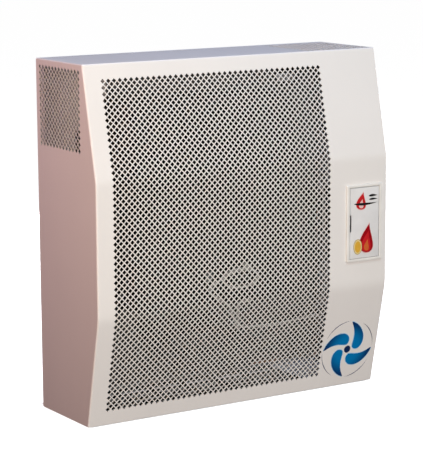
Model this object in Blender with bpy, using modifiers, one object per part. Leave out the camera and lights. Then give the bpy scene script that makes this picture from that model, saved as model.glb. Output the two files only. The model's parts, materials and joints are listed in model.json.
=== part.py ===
"""Wall-hung balanced-flue gas fan convector heater, made as an assembly of separate solids.

Units are metres. X runs to the right along the front, -Y is the front and +Z is up. The origin is the
centre of the bounding box's bottom face, so the heater stands on the lower edges of its casing.
"""

import math

import bmesh
import bpy
from mathutils import Matrix, Vector

# ---------------------------------------------------------------------------------------------
# Driving sizes
# ---------------------------------------------------------------------------------------------
WIDTH = 0.550
HEIGHT = 0.566
EDGE_DEPTH = 0.150  # wall face to the top and bottom edges of the front sheet
BOW = 0.038  # how far the upright middle of the front stands out past those edges
SLOPE_RISE = 0.176  # height of each sloping facet of the front
UPPER_BEND_RADIUS = 0.047
LOWER_BEND_RADIUS = 0.080
SHEET = 0.001  # casing sheet
GAP = 0.0003  # between touching pieces
BEZEL_PROUD = 0.003

DEPTH = EDGE_DEPTH + BOW + BEZEL_PROUD
WALL_Y = DEPTH / 2
EDGE_Y = WALL_Y - EDGE_DEPTH
FACE_Y = EDGE_Y - BOW
SLOPE = math.atan2(BOW, SLOPE_RISE)
HALF_WIDTH = WIDTH / 2

# Coarse stand-in for the punched pattern: diamonds on a square grid
COARSE_PITCH = 0.050
COARSE_HALF_DIAGONAL = 0.018
FIELD_LEFT = -0.2425
FIELD_LENGTH = 0.400
FRONT_COLUMNS = 8
FRONT_ROWS = 10
OUTLET_COUNT = 2  # rows and columns of the side and top outlets
OUTLET_Y = 0.0215
OUTLET_Z = 0.493
OUTLET_X = 0.210

# Access door
DOOR_X = 0.2283
DOOR_Z = 0.2818
BEZEL_SIZE = (0.073, 0.129)
OPENING_SIZE = (0.060, 0.119)
COLLAR_WALL = 0.002
COLLAR_BACK_Y = -0.084
LEAF_THICKNESS = 0.003
LEAF_RECESS = 0.0006
LEAF_GAP = 0.0006
LEAF_BEVEL = 0.0003
LEAF_HINGE_GAP = 0.0010
HINGE_INSET = 0.0015
HINGE_PIN_RADIUS = 0.0008
HINGE_HOLE_RADIUS = 0.0011
LEAF_HOLE_DEPTH = 0.0048
BEZEL_HOLE_DEPTH = 0.0019
FINGER_SLOT = (0.0027, 0.028)
STRIKE_SIZE = (0.008, 0.0012, 0.016)
STRIKE_INSET = 0.0022
MAGNET_DEPTH = 0.005
CATCH_Z = 0.308

# Chassis and bottom
CHASSIS_HALF_WIDTH = 0.272
CHASSIS_LOW_Z = 0.0153
CHASSIS_HIGH_Z = 0.562
CHASSIS_FLANGE = 0.021
HANGER_X = 0.196
HANGER_Z = 0.509
HANGER_SLOT = (0.026, 0.011)
BOTTOM_PANEL_Z = 0.015
BOTTOM_FLANGE_Z = 0.0005
INTAKE_SLOT = (0.050, 0.010)
INTAKE_COLUMNS = 6
INTAKE_ROWS = 4
INTAKE_PITCH = (0.062, 0.026)
INTAKE_X = -0.040
INTAKE_Y = 0.010
SCREW_X = 0.245
SCREW_Y = 0.084
SCREW_HOLE_RADIUS = 0.0024
SCREW_HEAD_Z = 0.0137

# Heat exchanger and flue
CORE_X = -0.020  # centre line of the exchanger, the flue and the fan
SHELL_HALF_WIDTH = 0.150
SHELL_FRONT_Y = -0.035
SHELL_BACK_Y = 0.045
SHELL_LOW_Z = 0.165
SHELL_HIGH_Z = 0.490
SHELL_WALL = 0.002
RIB_COUNT = 9
RIB_PITCH = 0.032
RIB_SIZE = (0.003, 0.012)
RIB_LOW_Z = 0.272
RIB_HIGH_Z = 0.478
BACK_PLATE_OVERLAP = 0.010
PIPE_HOLE_RADIUS = 0.0045
FLUE_Z = 0.395
FLUE_INNER_RADIUS = 0.042
FLUE_OUTER_RADIUS = 0.074
FLUE_HOLE_RADIUS = 0.0744
COLLAR_SHEET = 0.0015
COLLAR_FLANGE_RADIUS = 0.084
COLLAR_LENGTH = 0.0205
DUCT_HALF_WIDTH = 0.090
DUCT_LOW_Z = 0.172
DUCT_HIGH_Z = 0.486
DUCT_SHEET = 0.0012
AIR_INLET = (0.140, 0.035)
AIR_INLET_Z = 0.1975
BAFFLE_HALF_WIDTH = 0.060
BAFFLE_Y = 0.020
BAFFLE_Z = (0.330, 0.450)
SUPPORT_NEAR = 0.105
SUPPORT_FAR = 0.135
SUPPORT_Z = (0.190, 0.460)

# Burner group
ACCESS_Z = 0.212
ACCESS_HOLE = (0.110, 0.068)
ACCESS_PLATE = (0.144, 0.084, 0.003)
ACCESS_BOLT_INSET = 0.008
SIGHT_HOLE_RADIUS = 0.011
SIGHT_X = -0.040
SIGHT_GLASS_RADIUS = 0.014
SIGHT_GLASS_THICKNESS = 0.003
SIGHT_RING_RADIUS = 0.020
SIGHT_RING_DEPTH = 0.0055
LEAD_HOLE_RADIUS = 0.0026
BURNER_Y = 0.010
BURNER_Z = 0.195
BURNER_RADIUS = 0.018
BURNER_WALL = 0.0015
BURNER_ENDS = (-0.120, 0.100)
BURNER_SLOTS = 8
BURNER_SLOT_SIZE = (0.003, 0.016, 0.012)
BURNER_SLOT_INSET = 0.020
BURNER_FOOT_INSET = 0.030
BURNER_FOOT_HALF = (0.001, 0.010)
INJECTOR_LENGTH = 0.016
INJECTOR_DISTANCE = 0.002
PILOT_X = 0.010  # plane of the pilot bracket's holes
PILOT_Y = -0.022
PILOT_HEIGHTS = (0.205, 0.215, 0.225)  # thermocouple, pilot burner, electrode
PILOT_RADII = (0.002, 0.0035, 0.002)
PILOT_TIPS_X = PILOT_X - 0.026
PILOT_ENDS_X = PILOT_X + 0.006
LEAD_EXIT_X = 0.028

# Controls behind the door
CONTROL_PLATE_Y = -0.0607
CONTROL_PLATE_SHEET = 0.0012
CONTROL_PLATE_HALF = (0.034, 0.066)
KNOB_Z = 0.282
PIEZO_Z = 0.324
SWITCH_Z = 0.241
KNOB_HOLE_RADIUS = 0.0145
PIEZO_HOLE_RADIUS = 0.0083
SWITCH_HOLE_HALF = (0.0095, 0.0065)
KNOB_RADIUS = 0.017
KNOB_FRONT_Y = -0.084
KNOB_BACK_Y = -0.067
SPINDLE_RADIUS = 0.004
SPINDLE_ENDS = (-0.081, -0.046)
SPINDLE_BORE_END = -0.038
PIEZO_BACK_Y = -0.032
PIEZO_BODY_RADIUS = 0.008
PIEZO_FLANGE_RADIUS = 0.011
PIEZO_BORE_RADIUS = 0.0055
PIEZO_BORE_DEPTH = 0.020
PIEZO_FLANGE = 0.003
PIEZO_BUTTON_LENGTH = 0.022
PIEZO_BUTTON_PROUD = 0.009
SWITCH_FLANGE = 0.002
SWITCH_FLANGE_HALF = (0.0115, 0.0085)
SWITCH_BODY_HALF = (0.009, 0.006)
SWITCH_RECESS_HALF = (0.0075, 0.0050)
SWITCH_RECESS_DEPTH = 0.006
SWITCH_BACK_Y = -0.042
ROCKER_WIDTH = 0.0140
ROCKER_TILT = math.radians(-8)
ROCKER_OUTLINE = (  # y and z from the pivot
    (-0.0028, -0.0041),
    (-0.0012, 0.0),
    (-0.0028, 0.0041),
    (0.0006, 0.0041),
    (0.0022, 0.0),
    (0.0006, -0.0041),
)
VALVE_LOW = (0.206, -0.052, 0.250)
VALVE_HIGH = (0.250, 0.008, 0.308)
VALVE_BOSS_RADIUS = 0.014
VALVE_BOSS_LENGTH = 0.012
VALVE_LUG_Y = (-0.020, 0.000)
VALVE_LUG_Z = (0.270, 0.294)
VALVE_INLET_RADIUS = 0.011
VALVE_INLET_Z = 0.240
BRACKET_X = 0.2666
BRACKET_Z = (0.240, 0.320)
BRACKET_ENDS_X = (0.240, 0.2505)  # at the chassis and at the control plate

# Pipes and leads
BURNER_PIPE_RADIUS = 0.004
PILOT_PIPE_RADIUS = 0.002
THERMOCOUPLE_LEAD_RADIUS = 0.0013
IGNITION_LEAD_RADIUS = 0.002
CAPILLARY_RADIUS = 0.001
LEAD_LOOP_CENTRE = (0.003, 0.209)  # X and Z of the ignition lead's spare loop
LEAD_LOOP_HALF = (0.0325, 0.0150)
LEAD_LOOP_Y = (-0.0625, -0.0705)
LEAD_LOOP_ANGLES = (math.radians(80), math.radians(500))
LEAD_LOOP_STEPS = 22
BULB_X = 0.080
BULB_Y = 0.060
BULB_Z = 0.028
BULB_LENGTH = 0.080

# Fan under the exchanger
FAN_Y = 0.010
FAN_SIZE = 0.120
FAN_Z = (0.056, 0.094)
FAN_BORE_RADIUS = 0.057
FAN_TIP_RADIUS = 0.0545
FAN_HUB_RADIUS = 0.022
FAN_BLADES = 7
FAN_BLADE_PITCH = math.radians(38)
FAN_BLADE_HALF = (0.017, 0.001)  # chord and thickness
FAN_CUP_RADIUS = 0.0195
FAN_CUP_CROWN = 0.003
IMPELLER_DROP = 0.028
IMPELLER_HEIGHT = 0.026
STRUT_HALF = 0.002
STRUT_Z = (0.0005, 0.004)
MOTOR_CUP = (0.0003, 0.0045)  # start above the frame's underside, and height
MOTOR_RISE = 0.0048
GUARD_RADII = (0.020, 0.036, 0.052)
GUARD_WIRE_HALF = 0.0011
GUARD_CROSS_HALF = (0.0765, 0.0012)
SHELF_Z = 0.0949
SHELF_HALF_WIDTH = 0.080
SHELF_FRONT_Y = -0.055
SHELF_UPSTAND = 0.030

# Gas, cable and mains entries
GAS_X = 0.2283
GAS_Y = -0.020
UNION_Z = (0.003, 0.034)
UNION_HOLE_RADIUS = 0.0165
GAS_PIPE_RADIUS = 0.007
GLAND_X = 0.250
GLAND_Y = 0.055
GLAND_Z = 0.0035
GLAND_HOLE_RADIUS = 0.0080
ENTRY_HOLE_Z = 0.008
ENTRY_HOLE_LENGTH = 0.014
TERMINALS_LOW = (0.120, 0.074, 0.120)
TERMINALS_HIGH = (0.165, 0.145)  # X and Z
TERMINAL_COUNT = 3
TERMINAL_PITCH = 0.015
TERMINAL_HOLE_RADIUS = 0.003

ROUND = 32  # sides of a large round piece
SMALL_ROUND = 16
CLEAR = 0.010  # how far a cutter runs past what it cuts

# ---------------------------------------------------------------------------------------------
# Scene, materials and helpers
# ---------------------------------------------------------------------------------------------
for old in list(bpy.data.objects):
    bpy.data.objects.remove(old)

PARTS = bpy.data.collections.new("fan_convector_heater")
CUTTERS = bpy.data.collections.new("cutters")
bpy.context.scene.collection.children.link(PARTS)
bpy.context.scene.collection.children.link(CUTTERS)

MATERIAL_VALUES = {  # colour, roughness, metallic
    "cream_enamel": ((0.82, 0.79, 0.76), 0.42, 0.0),
    "white_plastic": ((0.84, 0.83, 0.80), 0.35, 0.0),
    "galvanised_steel": ((0.60, 0.61, 0.62), 0.38, 1.0),
    "heat_black": ((0.035, 0.034, 0.033), 0.75, 0.0),
    "stainless_steel": ((0.58, 0.56, 0.53), 0.32, 1.0),
    "valve_casting": ((0.055, 0.055, 0.058), 0.55, 0.0),
    "brass": ((0.72, 0.53, 0.24), 0.30, 1.0),
    "copper": ((0.72, 0.38, 0.24), 0.30, 1.0),
    "black_plastic": ((0.03, 0.03, 0.03), 0.45, 0.0),
    "red_plastic": ((0.55, 0.03, 0.03), 0.35, 0.0),
    "sight_glass": ((0.80, 0.88, 0.90), 0.05, 0.0),
    "ceramic": ((0.88, 0.86, 0.82), 0.30, 0.0),
    "cable_sheath": ((0.70, 0.68, 0.62), 0.50, 0.0),
    "black_sleeve": ((0.03, 0.03, 0.03), 0.60, 0.0),
}


def make_material(name):
    color, roughness, metallic = MATERIAL_VALUES[name]
    material = bpy.data.materials.new(name)
    material.use_nodes = True
    shader = material.node_tree.nodes["Principled BSDF"]
    shader.inputs["Base Color"].default_value = (*color, 1.0)
    shader.inputs["Roughness"].default_value = roughness
    shader.inputs["Metallic"].default_value = metallic
    return material


MATERIALS = {name: make_material(name) for name in MATERIAL_VALUES}


def new_piece(name, mesh, material, location=(0, 0, 0), rotation=None):
    """A named sub-part in the parts collection; with no material it is a cutter."""
    piece = bpy.data.objects.new(name, mesh)
    piece.location = location
    if rotation is not None:
        piece.rotation_euler = rotation.to_euler()
    if material is None:
        piece.hide_render = True
        piece.display_type = "WIRE"
        CUTTERS.objects.link(piece)
    else:
        PARTS.objects.link(piece)
        mesh.materials.append(MATERIALS[material])
    return piece


def mesh_from(bm, name):
    mesh = bpy.data.meshes.new(name)
    bm.to_mesh(mesh)
    bm.free()
    return mesh


def shade_round(mesh):
    mesh.shade_smooth()
    mesh.set_sharp_from_angle(angle=math.radians(35))


def box(name, low, high, material=None, bevel=0.0):
    low = Vector(low)
    high = Vector(high)
    bm = bmesh.new()
    bmesh.ops.create_cube(bm, size=1.0)
    bmesh.ops.scale(bm, vec=high - low, verts=bm.verts)
    piece = new_piece(name, mesh_from(bm, name), material, (low + high) / 2)
    if bevel:
        add_bevel(piece, bevel)
    return piece


def add_bevel(piece, width, segments=1):
    bevel = piece.modifiers.new("rounded_edges", "BEVEL")
    bevel.width = width
    bevel.segments = segments
    return bevel


AXIS_TURNS = {
    "X": Matrix.Rotation(math.radians(90), 3, "Y"),
    "Y": Matrix.Rotation(math.radians(-90), 3, "X"),
    "Z": Matrix.Identity(3),
}


def cylinder(name, axis, radius, start, length, material=None, sides=ROUND):
    """A cylinder that starts at the centre point start and runs along +axis."""
    bm = bmesh.new()
    bmesh.ops.create_cone(bm, cap_ends=True, segments=sides, radius1=radius, radius2=radius, depth=length)
    turn = AXIS_TURNS[axis]
    mesh = mesh_from(bm, name)
    shade_round(mesh)
    middle = Vector(start) + turn @ Vector((0, 0, length / 2))
    return new_piece(name, mesh, material, middle, turn)


def turned(name, axis, profile, start, material=None, sides=ROUND, closed=False):
    """A profile of (radius, distance along the axis) swept round the axis by a Screw modifier.

    It runs down the outer side, from the far end of the axis to the near one.
    """
    bm = bmesh.new()
    points = [bm.verts.new((radius, 0.0, along)) for radius, along in profile]
    for first, second in zip(points, points[1:]):
        bm.edges.new((first, second))
    if closed:
        bm.edges.new((points[-1], points[0]))
    piece = new_piece(name, mesh_from(bm, name), material, start, AXIS_TURNS[axis])
    screw = piece.modifiers.new("turned", "SCREW")
    screw.steps = sides
    screw.render_steps = sides
    screw.use_merge_vertices = True
    screw.merge_threshold = 0.00002
    screw.use_smooth_shade = False
    return piece


def ring(name, axis, outer, inner, start, length, material=None, sides=ROUND):
    profile = [(outer, length), (outer, 0.0), (inner, 0.0), (inner, length)]
    return turned(name, axis, profile, start, material, sides, closed=True)


PLANE_TURNS = {  # local x, y and z as columns: the profile plane's two axes, then the sweep axis
    "X": Matrix(((0, 0, 1), (1, 0, 0), (0, 1, 0))),
    "Y": Matrix(((0, 1, 0), (0, 0, 1), (1, 0, 0))),
    "Z": Matrix.Identity(3),
}


def folded_sheet(name, axis, profile, low, high, thickness, material, offset=0.0):
    """A bent sheet: an open profile swept from low to high along the axis, then given thickness.

    The profile lies in (y, z) for axis X, (z, x) for axis Y and (x, y) for axis Z.
    """
    bm = bmesh.new()
    points = [bm.verts.new((a, b, low)) for a, b in profile]
    edges = [bm.edges.new(pair) for pair in zip(points, points[1:])]
    swept = bmesh.ops.extrude_edge_only(bm, edges=edges)
    moved = [item for item in swept["geom"] if isinstance(item, bmesh.types.BMVert)]
    bmesh.ops.translate(bm, vec=(0, 0, high - low), verts=moved)
    bmesh.ops.recalc_face_normals(bm, faces=bm.faces)
    piece = new_piece(name, mesh_from(bm, name), material, rotation=PLANE_TURNS[axis])
    add_thickness(piece, thickness, offset)
    return piece


def add_thickness(piece, thickness, offset):
    solidify = piece.modifiers.new("sheet", "SOLIDIFY")
    solidify.thickness = thickness
    solidify.offset = offset
    solidify.use_even_offset = True
    return solidify


def pan(name, low, high, open_side, thickness, material):
    """A five-sided sheet tray whose outside is the box low to high, open towards open_side."""
    low = Vector(low)
    high = Vector(high)
    bm = bmesh.new()
    bmesh.ops.create_cube(bm, size=1.0)
    bmesh.ops.scale(bm, vec=high - low, verts=bm.verts)
    bm.normal_update()
    lid = [face for face in bm.faces if face.normal.dot(Vector(open_side)) > 0.9]
    bmesh.ops.delete(bm, geom=lid, context="FACES")
    piece = new_piece(name, mesh_from(bm, name), material, (low + high) / 2)
    add_thickness(piece, thickness, -1.0)
    return piece


def flat_outline(name, axis, outline, centre, thickness, material=None):
    """A flat plate: a 2D curve filled and extruded, then made a mesh so that it can be cut."""
    curve = bpy.data.curves.new(name, "CURVE")
    curve.dimensions = "2D"
    curve.fill_mode = "BOTH"
    curve.extrude = thickness / 2
    spline = curve.splines.new("POLY")
    spline.points.add(len(outline) - 1)
    for point, (a, b) in zip(spline.points, outline):
        point.co = (a, b, 0.0, 1.0)
    spline.use_cyclic_u = True
    guide = new_piece(name, curve, None, rotation=PLANE_TURNS[axis])
    sweep = Vector(PLANE_TURNS[axis].col[2])
    guide.location = sweep * centre
    return curve_to_mesh(guide, name, material)


def curve_to_mesh(guide, name, material):
    """Replace a curve object with a welded mesh object in the same place."""
    bpy.context.view_layer.update()
    evaluated = guide.evaluated_get(bpy.context.evaluated_depsgraph_get())
    mesh = bpy.data.meshes.new_from_object(evaluated)
    placed = guide.matrix_world.copy()
    bpy.data.objects.remove(guide)
    bm = bmesh.new()
    bm.from_mesh(mesh)
    bmesh.ops.remove_doubles(bm, verts=bm.verts, dist=0.00001)
    bmesh.ops.recalc_face_normals(bm, faces=bm.faces)
    bm.to_mesh(mesh)
    bm.free()
    mesh.materials.clear()
    piece = new_piece(name, mesh, material)
    piece.matrix_world = placed
    return piece


def rounded_path(corners, radius, steps=3):
    """The corner points of a bent pipe, each corner replaced by an arc."""
    corners = [Vector(corner) for corner in corners]
    path = [corners[0]]
    for before, corner, after in zip(corners, corners[1:], corners[2:]):
        path.extend(arc_round(before, corner, after, radius, steps))
    path.append(corners[-1])
    return path


def arc_round(before, corner, after, radius, steps):
    incoming = (corner - before).normalized()
    outgoing = (after - corner).normalized()
    turn = incoming.angle(outgoing)
    setback = radius * math.tan(turn / 2)
    centre = corner + (outgoing - incoming).normalized() * radius / math.cos(turn / 2)
    spoke = corner - incoming * setback - centre
    points = []
    for step in range(steps + 1):
        angle = turn * step / steps
        points.append(centre + spoke * math.cos(angle) + incoming * radius * math.sin(angle))
    return points


def tube(name, corners, radius, bend, material, sides=6):
    """A pipe or wire through corner points, each corner bent to the same radius."""
    return tube_along(name, rounded_path(corners, bend), radius, material, sides)


def tube_along(name, path, radius, material, sides=6):
    """A pipe or wire along ready points: a curve with a round bevel and filled caps."""
    curve = bpy.data.curves.new(name, "CURVE")
    curve.dimensions = "3D"
    curve.bevel_depth = radius
    curve.bevel_resolution = sides // 2 - 2
    curve.use_fill_caps = True
    spline = curve.splines.new("POLY")
    spline.points.add(len(path) - 1)
    for point, place in zip(spline.points, path):
        point.co = (*place, 1.0)
    guide = new_piece(name, curve, None)
    piece = curve_to_mesh(guide, name, material)
    shade_round(piece.data)
    return piece


def boolean(piece, other, operation):
    if other.name in PARTS.objects:
        raise ValueError(other.name + " is a part, not a cutter")
    modifier = piece.modifiers.new(other.name, "BOOLEAN")
    modifier.operation = operation
    modifier.object = other


def cut(piece, *cutters):
    for cutter in cutters:
        boolean(piece, cutter, "DIFFERENCE")


def join(piece, *others):
    for other in others:
        boolean(piece, other, "UNION")


def blocks_cutter(name, size, places, centre, turn=None, spin=0.0):
    """Cutter of equal blocks at flat places round a centre; each is spun about the flat's normal."""
    bm = bmesh.new()
    for across, up in places:
        made = bmesh.ops.create_cube(bm, size=1.0)
        bmesh.ops.scale(bm, vec=size, verts=made["verts"])
        bmesh.ops.rotate(bm, cent=(0, 0, 0), matrix=Matrix.Rotation(spin, 3, "Z"), verts=made["verts"])
        bmesh.ops.translate(bm, vec=(across, up, 0), verts=made["verts"])
    return new_piece(name, mesh_from(bm, name), None, centre, turn)


def grid_places(columns, rows, pitch):
    places = []
    for column in range(columns):
        for row in range(rows):
            across = (column - (columns - 1) / 2) * pitch[0]
            up = (row - (rows - 1) / 2) * pitch[1]
            places.append((across, up))
    return places


def diamond_grid(name, normal, centre, columns, rows, depth):
    """Cutter for a coarse diamond pattern: square bars turned 45 degrees about the normal."""
    side = COARSE_HALF_DIAGONAL * math.sqrt(2)
    places = grid_places(columns, rows, (COARSE_PITCH, COARSE_PITCH))
    return blocks_cutter(name, (side, side, depth), places, centre, AXIS_TURNS[normal], math.radians(45))


# ---------------------------------------------------------------------------------------------
# Casing
# ---------------------------------------------------------------------------------------------
def front_profile(inset, low, high):
    """Side view (y, z) of the bowed front from high to low, moved inwards by inset."""
    slant = inset / math.cos(SLOPE)
    bend_drop = (BOW + slant - inset) / math.tan(SLOPE)
    face = FACE_Y + inset
    top = Vector((EDGE_Y + slant - (HEIGHT - high) * math.tan(SLOPE), high))
    upper = Vector((face, HEIGHT - bend_drop))
    lower = Vector((face, bend_drop))
    bottom = Vector((EDGE_Y + slant - low * math.tan(SLOPE), low))
    points = [top]
    points += arc_round(top, upper, lower, UPPER_BEND_RADIUS - inset, steps=3)
    points += arc_round(upper, lower, bottom, LOWER_BEND_RADIUS - inset, steps=4)
    points.append(bottom)
    return [tuple(point) for point in points]


def build_casing():
    build_front()
    build_sides()
    build_top()
    build_bottom()
    build_chassis_screws()


def build_front():
    profile = front_profile(0.0, 0.0, HEIGHT)
    front = folded_sheet(
        "front_panel", "X", profile, -HALF_WIDTH, HALF_WIDTH, SHEET, "cream_enamel", -1.0
    )
    centre = (FIELD_LEFT + FIELD_LENGTH / 2, EDGE_Y, HEIGHT / 2)
    field = diamond_grid("field_cutter", "Y", centre, FRONT_COLUMNS, FRONT_ROWS, 2 * EDGE_DEPTH)
    opening = Vector(OPENING_SIZE) / 2 + Vector((COLLAR_WALL + GAP, COLLAR_WALL + GAP))
    doorway = box(
        "doorway_cutter",
        (DOOR_X - opening.x, FACE_Y - BOW, DOOR_Z - opening.y),
        (DOOR_X + opening.x, FACE_Y + BOW, DOOR_Z + opening.y),
    )
    cut(front, field, doorway)


def build_sides():
    side_top = HEIGHT - SHEET - GAP
    outline = front_profile(SHEET + GAP, 0.0, side_top) + [(WALL_Y, 0.0), (WALL_Y, side_top)]
    for side, name in ((-1, "side_panel_left"), (1, "side_panel_right")):
        middle = side * (HALF_WIDTH - SHEET / 2)
        panel = flat_outline(name, "X", outline, middle, SHEET, "cream_enamel")
        centre = (middle, OUTLET_Y, OUTLET_Z)
        cut(panel, diamond_grid(name + "_cutter", "X", centre, OUTLET_COUNT, OUTLET_COUNT, COARSE_PITCH))


def build_top():
    front_edge = EDGE_Y + SHEET / math.cos(SLOPE) + GAP
    low = (-HALF_WIDTH, front_edge, HEIGHT - SHEET)
    top = box("top_panel", low, (HALF_WIDTH, WALL_Y, HEIGHT), "cream_enamel")
    centre = (OUTLET_X, OUTLET_Y, HEIGHT)
    cut(top, diamond_grid("top_panel_cutter", "Z", centre, OUTLET_COUNT, OUTLET_COUNT, COARSE_PITCH))


def build_bottom():
    """A tray with air intake slots, and the gas and cable entries at its right end."""
    inner = HALF_WIDTH - SHEET - GAP
    low = (-inner, EDGE_Y + 2 * SHEET, BOTTOM_FLANGE_Z)
    high = (inner, WALL_Y, BOTTOM_PANEL_Z)
    bottom = pan("bottom_panel", low, high, (0, 0, -1), SHEET, "galvanised_steel")
    places = grid_places(INTAKE_COLUMNS, INTAKE_ROWS, INTAKE_PITCH)
    centre = (INTAKE_X, INTAKE_Y, BOTTOM_PANEL_Z)
    cut(bottom, blocks_cutter("intake_cutter", (*INTAKE_SLOT, CLEAR), places, centre))
    union_place = (GAS_X, GAS_Y, ENTRY_HOLE_Z)
    gland_place = (GLAND_X, GLAND_Y, ENTRY_HOLE_Z)
    cut(bottom, cylinder("union_hole", "Z", UNION_HOLE_RADIUS, union_place, ENTRY_HOLE_LENGTH))
    cut(bottom, cylinder("gland_hole", "Z", GLAND_HOLE_RADIUS, gland_place, ENTRY_HOLE_LENGTH))
    for side in (-1, 1):
        cut(bottom, screw_hole("bottom_screw_hole", side))


def screw_hole(name, side):
    place = (side * SCREW_X, SCREW_Y, SCREW_HEAD_Z - 0.002)
    return cylinder(name, "Z", SCREW_HOLE_RADIUS, place, 0.006, sides=SMALL_ROUND)


def build_chassis_screws():
    """Pan-headed screws that hold the tray to the chassis from below."""
    shank = 0.002
    head = 0.004
    length = 0.010
    profile = [
        (0, length),
        (shank, length),
        (shank, 0),
        (head, 0),
        (head, -0.0018),
        (head - 0.0015, -0.0026),
        (0, -0.0026),
    ]
    for side, name in ((-1, "chassis_screw_left"), (1, "chassis_screw_right")):
        turned(name, "Z", profile, (side * SCREW_X, SCREW_Y, SCREW_HEAD_Z), "stainless_steel", SMALL_ROUND)


# ---------------------------------------------------------------------------------------------
# Access door on the front's right side
# ---------------------------------------------------------------------------------------------
def door_rectangle(name, half, front, back, material=None, bevel=0.0):
    low = (DOOR_X - half[0], front, DOOR_Z - half[1])
    high = (DOOR_X + half[0], back, DOOR_Z + half[1])
    return box(name, low, high, material, bevel)


def build_door():
    bezel_front = FACE_Y - BEZEL_PROUD
    opening = (OPENING_SIZE[0] / 2, OPENING_SIZE[1] / 2)
    collar_half = (opening[0] + COLLAR_WALL, opening[1] + COLLAR_WALL)
    bezel_half = (BEZEL_SIZE[0] / 2, BEZEL_SIZE[1] / 2)
    bezel = door_rectangle("door_bezel", bezel_half, bezel_front, FACE_Y - GAP, "white_plastic", 0.001)
    join(bezel, door_rectangle("bezel_collar", collar_half, FACE_Y - 0.001, COLLAR_BACK_Y))
    cut(bezel, door_rectangle("bezel_opening", opening, bezel_front - 0.01, COLLAR_BACK_Y + 0.01))

    leaf_front = bezel_front + LEAF_RECESS
    leaf_left = DOOR_X - opening[0] + LEAF_GAP
    leaf_right = DOOR_X + opening[0] - LEAF_HINGE_GAP
    leaf_top = DOOR_Z + opening[1] - LEAF_GAP
    leaf_bottom = DOOR_Z - opening[1] + LEAF_GAP
    hinge_x = leaf_right - HINGE_INSET
    hinge_y = leaf_front + HINGE_INSET
    leaf = box(
        "access_door",
        (leaf_left, leaf_front, leaf_bottom),
        (leaf_right, leaf_front + LEAF_THICKNESS, leaf_top),
        "white_plastic",
        LEAF_BEVEL,
    )
    move_origin(leaf, (hinge_x, hinge_y, DOOR_Z))
    slot_half = FINGER_SLOT[1] / 2
    cut(
        leaf,
        box(
            "finger_slot",
            (leaf_left - 0.01, leaf_front - 0.01, DOOR_Z - slot_half),
            (leaf_left + FINGER_SLOT[0], leaf_front + 0.01, DOOR_Z + slot_half),
        ),
    )
    for end, name in ((1, "door_hinge_pin_upper"), (-1, "door_hinge_pin_lower")):
        leaf_end = leaf_top if end > 0 else leaf_bottom
        frame_end = DOOR_Z + end * opening[1]
        inner = leaf_end - end * LEAF_HOLE_DEPTH
        outer = frame_end + end * BEZEL_HOLE_DEPTH
        low = min(inner, outer)
        hole = (hinge_x, hinge_y, low)
        length = abs(outer - inner)
        drill = cylinder(name + "_hole", "Z", HINGE_HOLE_RADIUS, hole, length, sides=SMALL_ROUND)
        cut(leaf, drill)
        cut(bezel, drill)
        place = (hinge_x, hinge_y, low + GAP)
        cylinder(name, "Z", HINGE_PIN_RADIUS, place, length - 2 * GAP, "stainless_steel", SMALL_ROUND)

    leaf_back = leaf_front + LEAF_THICKNESS
    strike_left = leaf_left + STRIKE_INSET
    catch_low = CATCH_Z - STRIKE_SIZE[2] / 2
    catch_high = CATCH_Z + STRIKE_SIZE[2] / 2
    strike_back = leaf_back + GAP + STRIKE_SIZE[1]
    box(
        "door_strike",
        (strike_left, leaf_back + GAP, catch_low),
        (strike_left + STRIKE_SIZE[0], strike_back, catch_high),
        "stainless_steel",
    )
    box(
        "door_magnet",
        (DOOR_X - opening[0] + GAP, strike_back + GAP, catch_low),
        (strike_left + STRIKE_SIZE[0], strike_back + GAP + MAGNET_DEPTH, catch_high),
        "black_plastic",
    )


def move_origin(piece, place):
    """Put a piece's origin on its joint's axis and leave its mesh where it is."""
    shift = Vector(place) - piece.location
    piece.data.transform(Matrix.Translation(-shift))
    piece.location = place


# ---------------------------------------------------------------------------------------------
# Chassis, flue and heat exchanger
# ---------------------------------------------------------------------------------------------
def build_chassis():
    chassis = pan(
        "rear_chassis",
        (-CHASSIS_HALF_WIDTH, WALL_Y - CHASSIS_FLANGE, CHASSIS_LOW_Z),
        (CHASSIS_HALF_WIDTH, WALL_Y, CHASSIS_HIGH_Z),
        (0, -1, 0),
        SHEET,
        "galvanised_steel",
    )
    plate_y = WALL_Y - CLEAR / 2
    cut(chassis, cylinder("flue_hole", "Y", FLUE_HOLE_RADIUS, (CORE_X, plate_y, FLUE_Z), CLEAR))
    for side, name in ((-1, "hanger_left"), (1, "hanger_right")):
        cut_hanging_slot(chassis, name, side * HANGER_X, plate_y)
        cut(chassis, screw_hole(name + "_screw_hole", side))


def cut_hanging_slot(chassis, name, middle, plate_y):
    """A level slot with round ends for a wall hook."""
    radius = HANGER_SLOT[1] / 2
    reach = HANGER_SLOT[0] / 2 - radius
    for end in (-1, 1):
        place = (middle + end * reach, plate_y, HANGER_Z)
        cut(chassis, cylinder(name + "_end", "Y", radius, place, CLEAR, sides=SMALL_ROUND))
    low = (middle - reach, plate_y, HANGER_Z - radius)
    cut(chassis, box(name + "_slot", low, (middle + reach, plate_y + CLEAR, HANGER_Z + radius)))


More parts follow.
